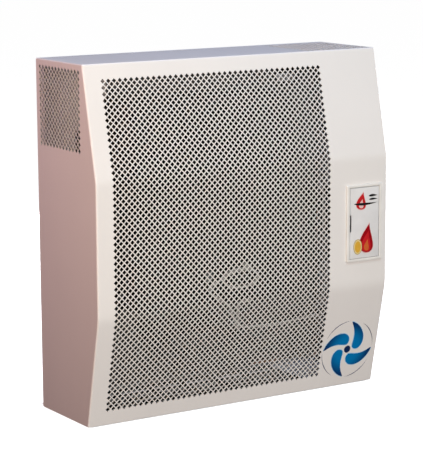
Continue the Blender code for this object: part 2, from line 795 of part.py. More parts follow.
def build_flue():
    back_plate_rear = SHELL_BACK_Y + GAP + SHELL_WALL
    inner_start = (CORE_X, back_plate_rear + GAP, FLUE_Z)
    length = WALL_Y - back_plate_rear - GAP
    inner_bore = FLUE_INNER_RADIUS - COLLAR_SHEET
    ring("flue_collar_inner", "Y", FLUE_INNER_RADIUS, inner_bore, inner_start, length, "stainless_steel")
    bore = FLUE_OUTER_RADIUS - COLLAR_SHEET
    flange = COLLAR_LENGTH - SHEET - GAP
    profile = [
        (FLUE_OUTER_RADIUS, COLLAR_LENGTH),
        (FLUE_OUTER_RADIUS, flange),
        (COLLAR_FLANGE_RADIUS, flange),
        (COLLAR_FLANGE_RADIUS, flange - DUCT_SHEET),
        (FLUE_OUTER_RADIUS, flange - DUCT_SHEET),
        (FLUE_OUTER_RADIUS, 0.0),
        (bore, 0.0),
        (bore, COLLAR_LENGTH),
    ]
    start = (CORE_X, WALL_Y - COLLAR_LENGTH, FLUE_Z)
    turned("flue_collar_outer", "Y", profile, start, "galvanised_steel", closed=True)

    duct_front = back_plate_rear + GAP
    duct_back = WALL_Y - SHEET - GAP
    duct = box(
        "air_duct",
        (CORE_X - DUCT_HALF_WIDTH, duct_front, DUCT_LOW_Z),
        (CORE_X + DUCT_HALF_WIDTH, duct_back, DUCT_HIGH_Z),
        "heat_black",
    )
    cut(
        duct,
        box(
            "duct_bore",
            (CORE_X - DUCT_HALF_WIDTH + DUCT_SHEET, duct_front - CLEAR, DUCT_LOW_Z + DUCT_SHEET),
            (CORE_X + DUCT_HALF_WIDTH - DUCT_SHEET, duct_back + CLEAR, DUCT_HIGH_Z - DUCT_SHEET),
        ),
    )
    middle_front = duct_front + DUCT_SHEET / 2
    middle_back = duct_back - DUCT_SHEET / 2
    for side, name in ((-1, "exchanger_support_left"), (1, "exchanger_support_right")):
        near = CORE_X + side * SUPPORT_NEAR
        far = CORE_X + side * SUPPORT_FAR
        channel = [(far, middle_front), (near, middle_front), (near, middle_back), (far, middle_back)]
        folded_sheet(name, "Z", channel, *SUPPORT_Z, DUCT_SHEET, "heat_black")


def build_exchanger():
    build_shell()
    build_exchanger_back()
    build_baffle()


def build_shell():
    """The ribbed front half of the exchanger, open towards its back plate."""
    shell = pan(
        "exchanger_shell",
        (CORE_X - SHELL_HALF_WIDTH, SHELL_FRONT_Y, SHELL_LOW_Z),
        (CORE_X + SHELL_HALF_WIDTH, SHELL_BACK_Y, SHELL_HIGH_Z),
        (0, 1, 0),
        SHELL_WALL,
        "heat_black",
    )
    rib_middle = SHELL_FRONT_Y + (SHELL_WALL / 2 - RIB_SIZE[1]) / 2
    rib_place = (CORE_X, rib_middle, (RIB_LOW_Z + RIB_HIGH_Z) / 2)
    rib_size = (RIB_SIZE[0], RIB_SIZE[1] + SHELL_WALL, RIB_HIGH_Z - RIB_LOW_Z)
    join(shell, blocks_cutter("ribs", rib_size, grid_places(RIB_COUNT, 1, (RIB_PITCH, 0.0)), rib_place))
    half = (ACCESS_HOLE[0] / 2, ACCESS_HOLE[1] / 2)
    access = box(
        "access_hole",
        (CORE_X - half[0], SHELL_FRONT_Y - CLEAR, ACCESS_Z - half[1]),
        (CORE_X + half[0], SHELL_FRONT_Y + CLEAR, ACCESS_Z + half[1]),
    )
    wall = (CORE_X + SHELL_HALF_WIDTH - CLEAR, BURNER_Y, BURNER_Z)
    cut(shell, access, cylinder("pipe_hole", "X", PIPE_HOLE_RADIUS, wall, 2 * CLEAR, sides=SMALL_ROUND))


def build_exchanger_back():
    overlap = BACK_PLATE_OVERLAP
    back = box(
        "exchanger_back",
        (CORE_X - SHELL_HALF_WIDTH - overlap, SHELL_BACK_Y + GAP, SHELL_LOW_Z - overlap),
        (CORE_X + SHELL_HALF_WIDTH + overlap, SHELL_BACK_Y + GAP + SHELL_WALL, SHELL_HIGH_Z + overlap),
        "heat_black",
    )
    flue_start = (CORE_X, SHELL_BACK_Y - CLEAR, FLUE_Z)
    flue = cylinder("back_flue_hole", "Y", FLUE_INNER_RADIUS - COLLAR_SHEET, flue_start, 2 * CLEAR)
    inlet = box(
        "back_inlet_hole",
        (CORE_X - AIR_INLET[0] / 2, SHELL_BACK_Y - CLEAR, AIR_INLET_Z - AIR_INLET[1] / 2),
        (CORE_X + AIR_INLET[0] / 2, SHELL_BACK_Y + CLEAR, AIR_INLET_Z + AIR_INLET[1] / 2),
    )
    cut(back, flue, inlet)


def build_baffle():
    """A channel in front of the flue that makes the hot gas go round it."""
    left = CORE_X - BAFFLE_HALF_WIDTH
    right = CORE_X + BAFFLE_HALF_WIDTH
    channel = [(left, SHELL_BACK_Y), (left, BAFFLE_Y), (right, BAFFLE_Y), (right, SHELL_BACK_Y)]
    folded_sheet("flue_baffle", "Z", channel, *BAFFLE_Z, DUCT_SHEET, "stainless_steel")


# ---------------------------------------------------------------------------------------------
# Burner, pilot and their access plate
# ---------------------------------------------------------------------------------------------
def build_access_plate():
    half = (ACCESS_PLATE[0] / 2, ACCESS_PLATE[1] / 2)
    back_y = SHELL_FRONT_Y - GAP
    front_y = back_y - ACCESS_PLATE[2]
    plate = box(
        "burner_access_plate",
        (CORE_X - half[0], front_y, ACCESS_Z - half[1]),
        (CORE_X + half[0], back_y, ACCESS_Z + half[1]),
        "heat_black",
        0.0006,
    )
    drill_y = front_y - CLEAR / 2
    cut(plate, cylinder("sight_hole", "Y", SIGHT_HOLE_RADIUS, (SIGHT_X, drill_y, ACCESS_Z), 2 * CLEAR))
    for height in PILOT_HEIGHTS:
        place = (LEAD_EXIT_X, drill_y, height)
        cut(plate, cylinder("lead_hole", "Y", LEAD_HOLE_RADIUS, place, 2 * CLEAR, sides=SMALL_ROUND))
    build_sight_glass(front_y)
    build_access_bolts(front_y, half)


def build_sight_glass(front_y):
    """A glass disc held against the access plate by a turned ring."""
    thickness = SIGHT_GLASS_THICKNESS
    radius = SIGHT_GLASS_RADIUS
    disc = [(0, thickness), (radius, thickness), (radius, 0), (0, 0)]
    turned("sight_glass", "Y", disc, (SIGHT_X, front_y - GAP - thickness, ACCESS_Z), "sight_glass", 24)
    cup = radius + GAP
    depth = SIGHT_RING_DEPTH
    lip = depth - thickness - GAP
    chamfer = 0.001
    profile = [
        (SIGHT_RING_RADIUS, depth),
        (SIGHT_RING_RADIUS, chamfer),
        (SIGHT_RING_RADIUS - chamfer, 0.0),
        (SIGHT_HOLE_RADIUS, 0.0),
        (SIGHT_HOLE_RADIUS, lip),
        (cup, lip),
        (cup, depth),
    ]
    place = (SIGHT_X, front_y - GAP - depth, ACCESS_Z)
    turned("sight_glass_ring", "Y", profile, place, "heat_black", 24, closed=True)


def build_access_bolts(front_y, half):
    height = 0.004
    radius = 0.0055
    chamfer = 0.001
    head = [(0, height), (radius, height), (radius, chamfer), (radius - chamfer, 0), (0, 0)]
    corners = [(-1, -1), (1, -1), (-1, 1), (1, 1)]
    for number, (across, up) in enumerate(corners, start=1):
        x = CORE_X + across * (half[0] - ACCESS_BOLT_INSET)
        z = ACCESS_Z + up * (half[1] - ACCESS_BOLT_INSET)
        turned(f"access_bolt_{number}", "Y", head, (x, front_y - GAP - height, z), "heat_black", 6)


def build_burner():
    """A slotted tube closed at its left end, on two feet, fed by an injector at its right end."""
    start, end = BURNER_ENDS
    bore = BURNER_RADIUS - BURNER_WALL
    length = end - start
    profile = [
        (BURNER_RADIUS, length),
        (BURNER_RADIUS, 0),
        (0, 0),
        (0, BURNER_WALL),
        (bore, BURNER_WALL),
        (bore, length),
        (BURNER_RADIUS, length),
    ]
    burner = turned("burner_tube", "X", profile, (start, BURNER_Y, BURNER_Z), "stainless_steel", 24)
    half_x, half_y = BURNER_FOOT_HALF
    foot_low = SHELL_LOW_Z + SHELL_WALL + GAP
    foot_high = BURNER_Z - BURNER_RADIUS + BURNER_WALL / 2
    for x in (start + BURNER_FOOT_INSET, end - BURNER_FOOT_INSET):
        low = (x - half_x, BURNER_Y - half_y, foot_low)
        join(burner, box("burner_foot", low, (x + half_x, BURNER_Y + half_y, foot_high)))
    pitch = (length - 2 * BURNER_SLOT_INSET) / (BURNER_SLOTS - 1)
    middle = ((start + end) / 2, BURNER_Y, BURNER_Z + BURNER_RADIUS)
    places = grid_places(BURNER_SLOTS, 1, (pitch, 0.0))
    cut(burner, blocks_cutter("flame_slots", BURNER_SLOT_SIZE, places, middle))
    nut = INJECTOR_LENGTH
    jet = [(0, nut), (0.006, nut), (0.006, 0.008), (0.004, 0.006), (0.003, 0), (0, 0)]
    turned("burner_injector", "X", jet, (end + INJECTOR_DISTANCE, BURNER_Y, BURNER_Z), "brass", SMALL_ROUND)


def build_pilot():
    """Thermocouple, pilot burner and spark electrode through a bracket on the shell's front."""
    tab_y = SHELL_FRONT_Y + DUCT_SHEET / 2
    profile = [(PILOT_X, PILOT_Y + 0.012), (PILOT_X, tab_y), (PILOT_X - 0.018, tab_y)]
    low = PILOT_HEIGHTS[0] - 0.007
    high = PILOT_HEIGHTS[2] + 0.007
    bracket = folded_sheet("pilot_bracket", "Z", profile, low, high, DUCT_SHEET, "stainless_steel")
    for radius, height in zip(PILOT_RADII, PILOT_HEIGHTS):
        place = (PILOT_X - CLEAR / 2, PILOT_Y, height)
        hole = radius + GAP + 0.0001
        cut(bracket, cylinder("pilot_hole", "X", hole, place, CLEAR, sides=SMALL_ROUND))
    length = PILOT_ENDS_X - PILOT_TIPS_X
    probe, burner, electrode = PILOT_RADII
    tip = 0.0012
    hood = burner + 0.0007
    wire = 0.0008
    profiles = (
        ("thermocouple", [(0, length), (probe, length), (probe, 0.003), (tip, 0), (0, 0)], "copper"),
        (
            "pilot_burner",
            [(0, length), (burner, length), (burner, 0.006), (hood, 0.006), (hood, 0), (0, 0)],
            "brass",
        ),
        (
            "ignition_electrode",
            [(0, length), (electrode, length), (electrode, 0.012), (wire, 0.012), (wire, 0), (0, 0)],
            "ceramic",
        ),
    )
    for (name, outline, material), height in zip(profiles, PILOT_HEIGHTS):
        turned(name, "X", outline, (PILOT_TIPS_X, PILOT_Y, height), material, SMALL_ROUND)


# ---------------------------------------------------------------------------------------------
# Gas valve and the controls behind the door
# ---------------------------------------------------------------------------------------------
def build_valve():
    valve = box("gas_valve_body", VALVE_LOW, VALVE_HIGH, "valve_casting", 0.002)
    boss_place = (DOOR_X, CONTROL_PLATE_Y + 0.002, KNOB_Z)
    boss = cylinder("valve_boss", "Y", VALVE_BOSS_RADIUS, boss_place, VALVE_BOSS_LENGTH)
    lug = box(
        "valve_lug",
        (VALVE_HIGH[0] - 0.004, VALVE_LUG_Y[0], VALVE_LUG_Z[0]),
        (BRACKET_X - DUCT_SHEET / 2 - GAP, VALVE_LUG_Y[1], VALVE_LUG_Z[1]),
    )
    inlet = cylinder("valve_inlet", "Z", VALVE_INLET_RADIUS, (GAS_X, GAS_Y, VALVE_INLET_Z), 0.014)
    join(valve, boss, lug, inlet)
    bore_place = (DOOR_X, CONTROL_PLATE_Y - 0.001, KNOB_Z)
    bore_length = SPINDLE_BORE_END - bore_place[1]
    cut(valve, cylinder("spindle_bore", "Y", SPINDLE_RADIUS + GAP, bore_place, bore_length))

    length = SPINDLE_ENDS[1] - SPINDLE_ENDS[0]
    place = (DOOR_X, SPINDLE_ENDS[0], KNOB_Z)
    cylinder("valve_spindle", "Y", SPINDLE_RADIUS, place, length, "brass", SMALL_ROUND)

    middle_back = WALL_Y - SHEET - GAP - DUCT_SHEET / 2
    middle_front = CONTROL_PLATE_Y + CONTROL_PLATE_SHEET + GAP + DUCT_SHEET / 2
    profile = [
        (BRACKET_ENDS_X[0], middle_back),
        (BRACKET_X, middle_back),
        (BRACKET_X, middle_front),
        (BRACKET_ENDS_X[1], middle_front),
    ]
    folded_sheet("valve_bracket", "Z", profile, *BRACKET_Z, DUCT_SHEET, "heat_black")


def build_knob():
    """A stepped control knob with a pointer rib, bored from behind for its spindle."""
    depth = KNOB_BACK_Y - KNOB_FRONT_Y
    bore = SPINDLE_RADIUS + GAP
    bore_start = SPINDLE_ENDS[0] - GAP - KNOB_FRONT_Y
    skirt = 0.005
    profile = [
        (KNOB_RADIUS, depth),
        (KNOB_RADIUS, depth - skirt),
        (KNOB_RADIUS - 0.003, depth - skirt - 0.001),
        (KNOB_RADIUS - 0.004, 0.0015),
        (KNOB_RADIUS - 0.0055, 0.0),
        (0, 0),
        (0, bore_start),
        (bore, bore_start),
        (bore, depth),
    ]
    place = (DOOR_X, KNOB_FRONT_Y, KNOB_Z)
    knob = turned("valve_knob", "Y", profile, place, "black_plastic", closed=True)
    pointer = box(
        "knob_pointer",
        (DOOR_X - 0.0012, KNOB_FRONT_Y - 0.0008, KNOB_Z + 0.003),
        (DOOR_X + 0.0012, KNOB_FRONT_Y + 0.002, KNOB_Z + 0.0105),
    )
    join(knob, pointer)


def build_control_plate():
    back = CONTROL_PLATE_Y + CONTROL_PLATE_SHEET
    plate = door_rectangle("control_plate", CONTROL_PLATE_HALF, CONTROL_PLATE_Y, back, "galvanised_steel")
    start = CONTROL_PLATE_Y - CLEAR / 2
    knob_hole = cylinder("knob_hole", "Y", KNOB_HOLE_RADIUS, (DOOR_X, start, KNOB_Z), CLEAR)
    piezo_hole = cylinder("piezo_hole", "Y", PIEZO_HOLE_RADIUS, (DOOR_X, start, PIEZO_Z), CLEAR)
    cut(plate, knob_hole, piezo_hole, switch_block("switch_hole", SWITCH_HOLE_HALF, start, start + CLEAR))


def build_piezo():
    """Push-button spark generator: a flanged sleeve through the plate and a sprung button."""
    flange_y = CONTROL_PLATE_Y - GAP - PIEZO_FLANGE
    length = PIEZO_BACK_Y - flange_y
    bore = PIEZO_BORE_RADIUS
    chamfer = 0.001
    profile = [
        (0, length),
        (PIEZO_BODY_RADIUS, length),
        (PIEZO_BODY_RADIUS, PIEZO_FLANGE),
        (PIEZO_FLANGE_RADIUS, PIEZO_FLANGE),
        (PIEZO_FLANGE_RADIUS, chamfer),
        (PIEZO_FLANGE_RADIUS - chamfer, 0.0),
        (bore, 0.0),
        (bore, PIEZO_BORE_DEPTH),
        (0, PIEZO_BORE_DEPTH),
    ]
    turned("piezo_body", "Y", profile, (DOOR_X, flange_y, PIEZO_Z), "black_plastic", 24)
    radius = bore - GAP
    reach = PIEZO_BUTTON_LENGTH
    button = [(0, reach), (radius, reach), (radius, chamfer), (radius - chamfer, 0), (0, 0)]
    place = (DOOR_X, flange_y - PIEZO_BUTTON_PROUD, PIEZO_Z)
    turned("piezo_button", "Y", button, place, "red_plastic", 24)


def switch_block(name, half, front, back, material=None):
    low = (DOOR_X - half[0], front, SWITCH_Z - half[1])
    return box(name, low, (DOOR_X + half[0], back, SWITCH_Z + half[1]), material)


def build_switch():
    """Rocker switch: a flanged housing and a rocker that turns about the X axis."""
    front = CONTROL_PLATE_Y - GAP - SWITCH_FLANGE
    body = switch_block("switch_body", SWITCH_FLANGE_HALF, front, CONTROL_PLATE_Y - GAP, "black_plastic")
    join(body, switch_block("switch_rear", SWITCH_BODY_HALF, front + SWITCH_FLANGE / 2, SWITCH_BACK_Y))
    cut(body, switch_block("switch_recess", SWITCH_RECESS_HALF, front - CLEAR, front + SWITCH_RECESS_DEPTH))
    rocker = flat_outline("switch_rocker", "X", ROCKER_OUTLINE, 0.0, ROCKER_WIDTH, "red_plastic")
    pivot = Matrix.Translation((DOOR_X, front + 0.001, SWITCH_Z))
    tilt = Matrix.Rotation(ROCKER_TILT, 4, "X")
    rocker.matrix_world = pivot @ tilt @ PLANE_TURNS["X"].to_4x4()


# ---------------------------------------------------------------------------------------------
# Pipes, leads and the gas and cable entries
# ---------------------------------------------------------------------------------------------
def build_pipes():
    build_gas_pipes()
    build_ignition_lead()
    build_thermostat()


def build_gas_pipes():
    """The burner's and the pilot's pipes and the thermocouple's lead, all from the valve's left."""
    port_x = VALVE_LOW[0] - GAP
    injector_x = BURNER_ENDS[1] + INJECTOR_DISTANCE + INJECTOR_LENGTH + GAP
    riser_x = 0.176
    pipe_z = 0.270
    pipe_y = -0.010
    corners = [
        (port_x, pipe_y, pipe_z),
        (riser_x, pipe_y, pipe_z),
        (riser_x, BURNER_Y, BURNER_Z),
        (injector_x, BURNER_Y, BURNER_Z),
    ]
    tube("burner_pipe", corners, BURNER_PIPE_RADIUS, 0.014, "heat_black", 8)

    start = PILOT_ENDS_X + GAP
    bend = 0.0045
    port_y = -0.038
    run_y = -0.050
    riser_x = 0.186
    corners = [
        (start, PILOT_Y, PILOT_HEIGHTS[1]),
        (LEAD_EXIT_X, PILOT_Y, PILOT_HEIGHTS[1]),
        (LEAD_EXIT_X, run_y, PILOT_HEIGHTS[1]),
        (riser_x, run_y, PILOT_HEIGHTS[1]),
        (riser_x, run_y, 0.250),
        (0.192, port_y, 0.262),
        (port_x, port_y, 0.262),
    ]
    tube("pilot_pipe", corners, PILOT_PIPE_RADIUS, bend, "black_sleeve")

    run_y = -0.056
    riser_x = 0.196
    port_z = 0.298
    corners = [
        (start, PILOT_Y, PILOT_HEIGHTS[0]),
        (LEAD_EXIT_X, PILOT_Y, PILOT_HEIGHTS[0]),
        (LEAD_EXIT_X, run_y, PILOT_HEIGHTS[0]),
        (riser_x, run_y, PILOT_HEIGHTS[0]),
        (riser_x, run_y, port_z),
        (riser_x, port_y, port_z),
        (port_x, port_y, port_z),
    ]
    tube("thermocouple_lead", corners, THERMOCOUPLE_LEAD_RADIUS, bend, "black_sleeve")


def build_ignition_lead():
    """From the electrode once round a spare loop, down, and up again to the spark generator."""
    height = PILOT_HEIGHTS[2]
    first_y, last_y = LEAD_LOOP_Y
    before = [
        (PILOT_ENDS_X + GAP, PILOT_Y, height),
        (LEAD_EXIT_X, PILOT_Y, height),
        (LEAD_EXIT_X, first_y + 0.002, height),
        (LEAD_EXIT_X - 0.010, first_y + 0.001, height),
    ]
    loop = []
    for step in range(LEAD_LOOP_STEPS + 1):
        share = step / LEAD_LOOP_STEPS
        angle = LEAD_LOOP_ANGLES[0] + (LEAD_LOOP_ANGLES[1] - LEAD_LOOP_ANGLES[0]) * share
        x = LEAD_LOOP_CENTRE[0] + LEAD_LOOP_HALF[0] * math.cos(angle)
        z = LEAD_LOOP_CENTRE[1] + LEAD_LOOP_HALF[1] * math.sin(angle)
        loop.append(Vector((x, first_y + (last_y - first_y) * share, z)))
    riser_x = 0.168
    riser_y = -0.062
    high_z = 0.345
    back_y = -0.014
    after = [
        (-0.038, -0.0698, 0.211),
        (-0.056, -0.068, 0.203),
        (-0.056, -0.0665, 0.1905),
        (-0.0166, -0.062, 0.165),
        (-0.009, -0.060, 0.148),
        (-0.0014, -0.058, 0.132),
        (0.016, -0.056, 0.125),
        (0.069, -0.056, 0.1215),
        (riser_x, riser_y, 0.130),
        (riser_x, riser_y, high_z - 0.010),
        (riser_x + 0.012, riser_y + 0.032, high_z),
        (DOOR_X, back_y, high_z),
        (DOOR_X, back_y, PIEZO_Z),
        (DOOR_X, PIEZO_BACK_Y + GAP, PIEZO_Z),
    ]
    bend = 0.006
    path = rounded_path(before, bend) + loop + rounded_path(after, bend)
    tube_along("ignition_lead", path, IGNITION_LEAD_RADIUS, "cable_sheath")


def build_thermostat():
    """A sensing bulb near the air intake, and its capillary to the valve."""
    tube(
        "thermostat_capillary",
        [
            (DOOR_X, VALVE_HIGH[1] + GAP, 0.290),
            (DOOR_X, 0.040, 0.290),
            (DOOR_X, 0.040, BULB_Z),
            (0.200, BULB_Y, BULB_Z),
            (BULB_X + BULB_LENGTH + GAP, BULB_Y, BULB_Z),
        ],
        CAPILLARY_RADIUS,
        0.010,
        "copper",
    )
    radius = 0.004
    neck = 0.002
    taper = 0.003
    profile = [
        (0, BULB_LENGTH),
        (neck, BULB_LENGTH),
        (radius, BULB_LENGTH - taper),
        (radius, taper),
        (neck, 0),
        (0, 0),
    ]
    turned("thermostat_bulb", "X", profile, (BULB_X, BULB_Y, BULB_Z), "copper", SMALL_ROUND)


def build_entries():
    """The gas pipe with its union, and the cable gland, all through the bottom tray."""
    low, top = UNION_Z
    length = VALVE_INLET_Z - top - 2 * GAP
    place = (GAS_X, GAS_Y, top + GAP)
    cylinder("gas_inlet_pipe", "Z", GAS_PIPE_RADIUS, place, length, "copper", SMALL_ROUND)
    height = top - low
    nut = 0.015
    neck = 0.011
    mouth = 0.008
    profile = [
        (0, height),
        (neck, height),
        (neck, 0.022),
        (nut, 0.022),
        (nut, 0.006),
        (neck + 0.0005, 0.006),
        (neck + 0.0005, 0.0),
        (mouth, 0.0),
        (mouth, 0.015),
        (0, 0.015),
    ]
    turned("gas_inlet_union", "Z", profile, (GAS_X, GAS_Y, low), "brass", 24)

    panel_low = BOTTOM_PANEL_Z - SHEET - GAP - GLAND_Z
    panel_high = BOTTOM_PANEL_Z + GAP - GLAND_Z
    bore = 0.004
    neck = GLAND_HOLE_RADIUS - 0.0005
    collar = 0.012
    profile = [
        (0.006, 0.026),
        (0.009, 0.022),
        (collar, 0.020),
        (collar, panel_high),
        (neck, panel_high),
        (neck, panel_low),
        (collar, panel_low),
        (collar, 0.003),
        (0.008, 0.0),
        (bore, 0.0),
        (bore, 0.026),
    ]
    place = (GLAND_X, GLAND_Y, GLAND_Z)
    turned("cable_gland", "Z", profile, place, "black_plastic", SMALL_ROUND, closed=True)


# ---------------------------------------------------------------------------------------------
# Fan
# ---------------------------------------------------------------------------------------------
def build_fan():
    build_fan_frame()
    build_impeller()
    build_fan_guard()
    build_fan_shelf()


def build_fan_frame():
    half = FAN_SIZE / 2
    low, high = FAN_Z
    centre = (CORE_X, FAN_Y)
    corner = (CORE_X - half, FAN_Y - half, low)
    frame = box("fan_frame", corner, (CORE_X + half, FAN_Y + half, high), "black_plastic", 0.004)
    cut(frame, cylinder("fan_bore", "Z", FAN_BORE_RADIUS, (*centre, low - CLEAR), 0.06, sides=40))
    reach = FAN_BORE_RADIUS + 0.002
    for name, across, along in (("strut_x", reach, STRUT_HALF), ("strut_y", STRUT_HALF, reach)):
        start = (CORE_X - across, FAN_Y - along, low + STRUT_Z[0])
        join(frame, box(name, start, (CORE_X + across, FAN_Y + along, low + STRUT_Z[1])))
    rise, height = MOTOR_CUP
    join(frame, cylinder("motor_cup", "Z", FAN_HUB_RADIUS, (*centre, low + rise), height))

    shaft = 0.003
    can = 0.016
    motor = [(0, 0.020), (shaft, 0.020), (shaft, can), (can, can), (can, 0.0), (0, 0)]
    turned("fan_motor", "Z", motor, (*centre, low + MOTOR_RISE + GAP), "galvanised_steel", 24)


def build_fan_guard():
    """Wire rings and a cross under the fan."""
    reach, half = GUARD_CROSS_HALF
    guard_z = FAN_Z[0] - GAP - half
    place = (CORE_X, FAN_Y, guard_z)
    guard = box("fan_guard", (-reach, -half, -half), (reach, half, half), "heat_black")
    other = box("guard_cross", (-half, -reach, -half), (half, reach, half))
    for bar in (guard, other):
        bar.location = place
        bar.rotation_euler.z = math.radians(45)
    join(guard, other)
    start = (CORE_X, FAN_Y, guard_z - 0.0020)
    for radius in GUARD_RADII:
        outer = radius + GUARD_WIRE_HALF
        inner = radius - GUARD_WIRE_HALF
        join(guard, ring("guard_ring", "Z", outer, inner, start, 0.0021, sides=20))


def build_fan_shelf():
    """The sheet that carries the fan from the chassis."""
    rear = WALL_Y - SHEET - GAP - DUCT_SHEET / 2
    profile = [(SHELF_FRONT_Y, SHELF_Z), (rear, SHELF_Z), (rear, SHELF_Z + SHELF_UPSTAND)]
    left = CORE_X - SHELF_HALF_WIDTH
    right = CORE_X + SHELF_HALF_WIDTH
    shelf = folded_sheet("fan_bracket", "X", profile, left, right, DUCT_SHEET, "heat_black")
    hole_place = (CORE_X, FAN_Y, SHELF_Z - CLEAR)
    cut(shelf, cylinder("shelf_hole", "Z", FAN_BORE_RADIUS, hole_place, 2 * CLEAR, sides=40))


def build_impeller():
    """Hub cup with pitched blades; the cup turns over the motor."""
    low = FAN_Z[1] - IMPELLER_DROP
    height = IMPELLER_HEIGHT
    cup = FAN_CUP_RADIUS
    depth = height - FAN_CUP_CROWN
    chamfer = 0.002
    profile = [
        (0, height),
        (FAN_HUB_RADIUS - chamfer, height),
        (FAN_HUB_RADIUS, height - chamfer),
        (FAN_HUB_RADIUS, 0),
        (cup, 0),
        (cup, depth),
        (0, depth),
    ]
    impeller = turned("fan_impeller", "Z", profile, (CORE_X, FAN_Y, low), "black_plastic")
    chord, thin = FAN_BLADE_HALF
    for number in range(FAN_BLADES):
        blade = box("blade", (cup + 0.001, -chord, -thin), (FAN_TIP_RADIUS, chord, thin))
        blade.data.transform(Matrix.Translation(blade.location))
        blade.data.transform(Matrix.Rotation(FAN_BLADE_PITCH, 4, "X"))
        blade.location = (CORE_X, FAN_Y, low + height / 2)
        blade.rotation_euler.z = math.tau * number / FAN_BLADES
        join(impeller, blade)


# ---------------------------------------------------------------------------------------------
# Electrical pieces
# ---------------------------------------------------------------------------------------------
def build_electrics():
    high = (TERMINALS_HIGH[0], WALL_Y - SHEET - GAP, TERMINALS_HIGH[1])
    block = box("terminal_block", TERMINALS_LOW, high, "black_plastic", 0.001)
    middle_x = (TERMINALS_LOW[0] + TERMINALS_HIGH[0]) / 2
    middle_z = (TERMINALS_LOW[2] + TERMINALS_HIGH[1]) / 2
    for number in range(TERMINAL_COUNT):
        x = middle_x + (number - (TERMINAL_COUNT - 1) / 2) * TERMINAL_PITCH
        place = (x, TERMINALS_LOW[1] - CLEAR / 2, middle_z)
        cut(block, cylinder("terminal_screw_hole", "Y", TERMINAL_HOLE_RADIUS, place, 0.013, sides=12))
    rear_y = 0.084
    block_z = 0.132
    fan_y = 0.050
    fan_z = (FAN_Z[0] + FAN_Z[1]) / 2
    corners = [
        (TERMINALS_LOW[0] - GAP, rear_y, block_z),
        (TERMINALS_LOW[0] - 0.025, rear_y, block_z),
        (TERMINALS_LOW[0] - 0.025, rear_y, fan_z),
        (0.070, fan_y, fan_z),
        (CORE_X + FAN_SIZE / 2 + GAP, fan_y, fan_z),
    ]
    tube("fan_wire", corners, 0.0025, 0.008, "cable_sheath")


build_casing()
build_door()
build_chassis()
build_flue()
build_exchanger()
build_access_plate()
build_burner()
build_pilot()
build_valve()
build_knob()
build_control_plate()
build_piezo()
build_switch()
build_pipes()
build_entries()
build_fan()
build_electrics()
bpy.context.view_layer.update()
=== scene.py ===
"""Final looks of a wall-hung gas fan convector heater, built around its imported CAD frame.

Units are metres, in the frame's own axes: X runs to the right along the front, -Y is the front and +Z is
up. The punched casing, the access door and the printed marks are modelled here; the inner CAD pieces stay
and get their finishes.
"""

import json
import math

import bmesh
import bpy
from mathutils import Matrix, Vector
from mathutils.geometry import delaunay_2d_cdt


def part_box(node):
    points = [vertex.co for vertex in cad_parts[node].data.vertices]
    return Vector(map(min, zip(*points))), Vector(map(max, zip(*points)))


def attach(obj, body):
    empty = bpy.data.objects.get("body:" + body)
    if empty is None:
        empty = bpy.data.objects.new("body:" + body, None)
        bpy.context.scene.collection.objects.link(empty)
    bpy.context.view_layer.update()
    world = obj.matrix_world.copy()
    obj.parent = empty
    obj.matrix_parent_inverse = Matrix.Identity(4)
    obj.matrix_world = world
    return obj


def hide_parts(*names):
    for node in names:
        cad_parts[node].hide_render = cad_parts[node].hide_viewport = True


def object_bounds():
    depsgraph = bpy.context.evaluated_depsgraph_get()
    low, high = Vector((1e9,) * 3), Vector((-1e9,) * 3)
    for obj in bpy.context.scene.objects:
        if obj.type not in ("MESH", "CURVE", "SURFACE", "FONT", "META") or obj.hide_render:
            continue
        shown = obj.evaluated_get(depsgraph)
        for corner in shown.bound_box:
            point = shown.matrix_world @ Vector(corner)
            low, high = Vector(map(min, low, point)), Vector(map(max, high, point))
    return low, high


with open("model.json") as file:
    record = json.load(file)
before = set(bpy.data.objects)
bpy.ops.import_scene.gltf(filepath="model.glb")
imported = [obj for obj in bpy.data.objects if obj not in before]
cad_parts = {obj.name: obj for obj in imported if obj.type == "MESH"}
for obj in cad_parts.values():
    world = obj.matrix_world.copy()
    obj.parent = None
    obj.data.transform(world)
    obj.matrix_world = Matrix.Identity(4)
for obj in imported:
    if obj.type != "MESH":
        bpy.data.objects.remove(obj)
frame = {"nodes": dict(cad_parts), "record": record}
cad_low, cad_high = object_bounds()

# ---------------------------------------------------------------------------------------------
# Sizes
# ---------------------------------------------------------------------------------------------
FRONT_LOW, FRONT_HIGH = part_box("front_panel")
_, SIDE_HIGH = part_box("side_panel_left")
BEZEL_LOW, BEZEL_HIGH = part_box("door_bezel")
LEAF_LOW, LEAF_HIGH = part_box("access_door")

HALF_WIDTH = FRONT_HIGH.x
HEIGHT = FRONT_HIGH.z
FACE_Y = FRONT_LOW.y
WALL_Y = SIDE_HIGH.y
BOW = 0.038  # how far the upright middle stands out past the top and bottom edges
EDGE_Y = FACE_Y + BOW
SLOPE_RISE = 0.176  # height of each sloping facet
SLOPE = math.atan2(BOW, SLOPE_RISE)
UPPER_BEND = 0.047
LOWER_BEND = 0.080
TOP_FOLD = 0.0030
SIDE_FOLD = 0.0025  # corners between the front or top and the sides
HEM_FOLD = 0.0010
SHEET = 0.0010

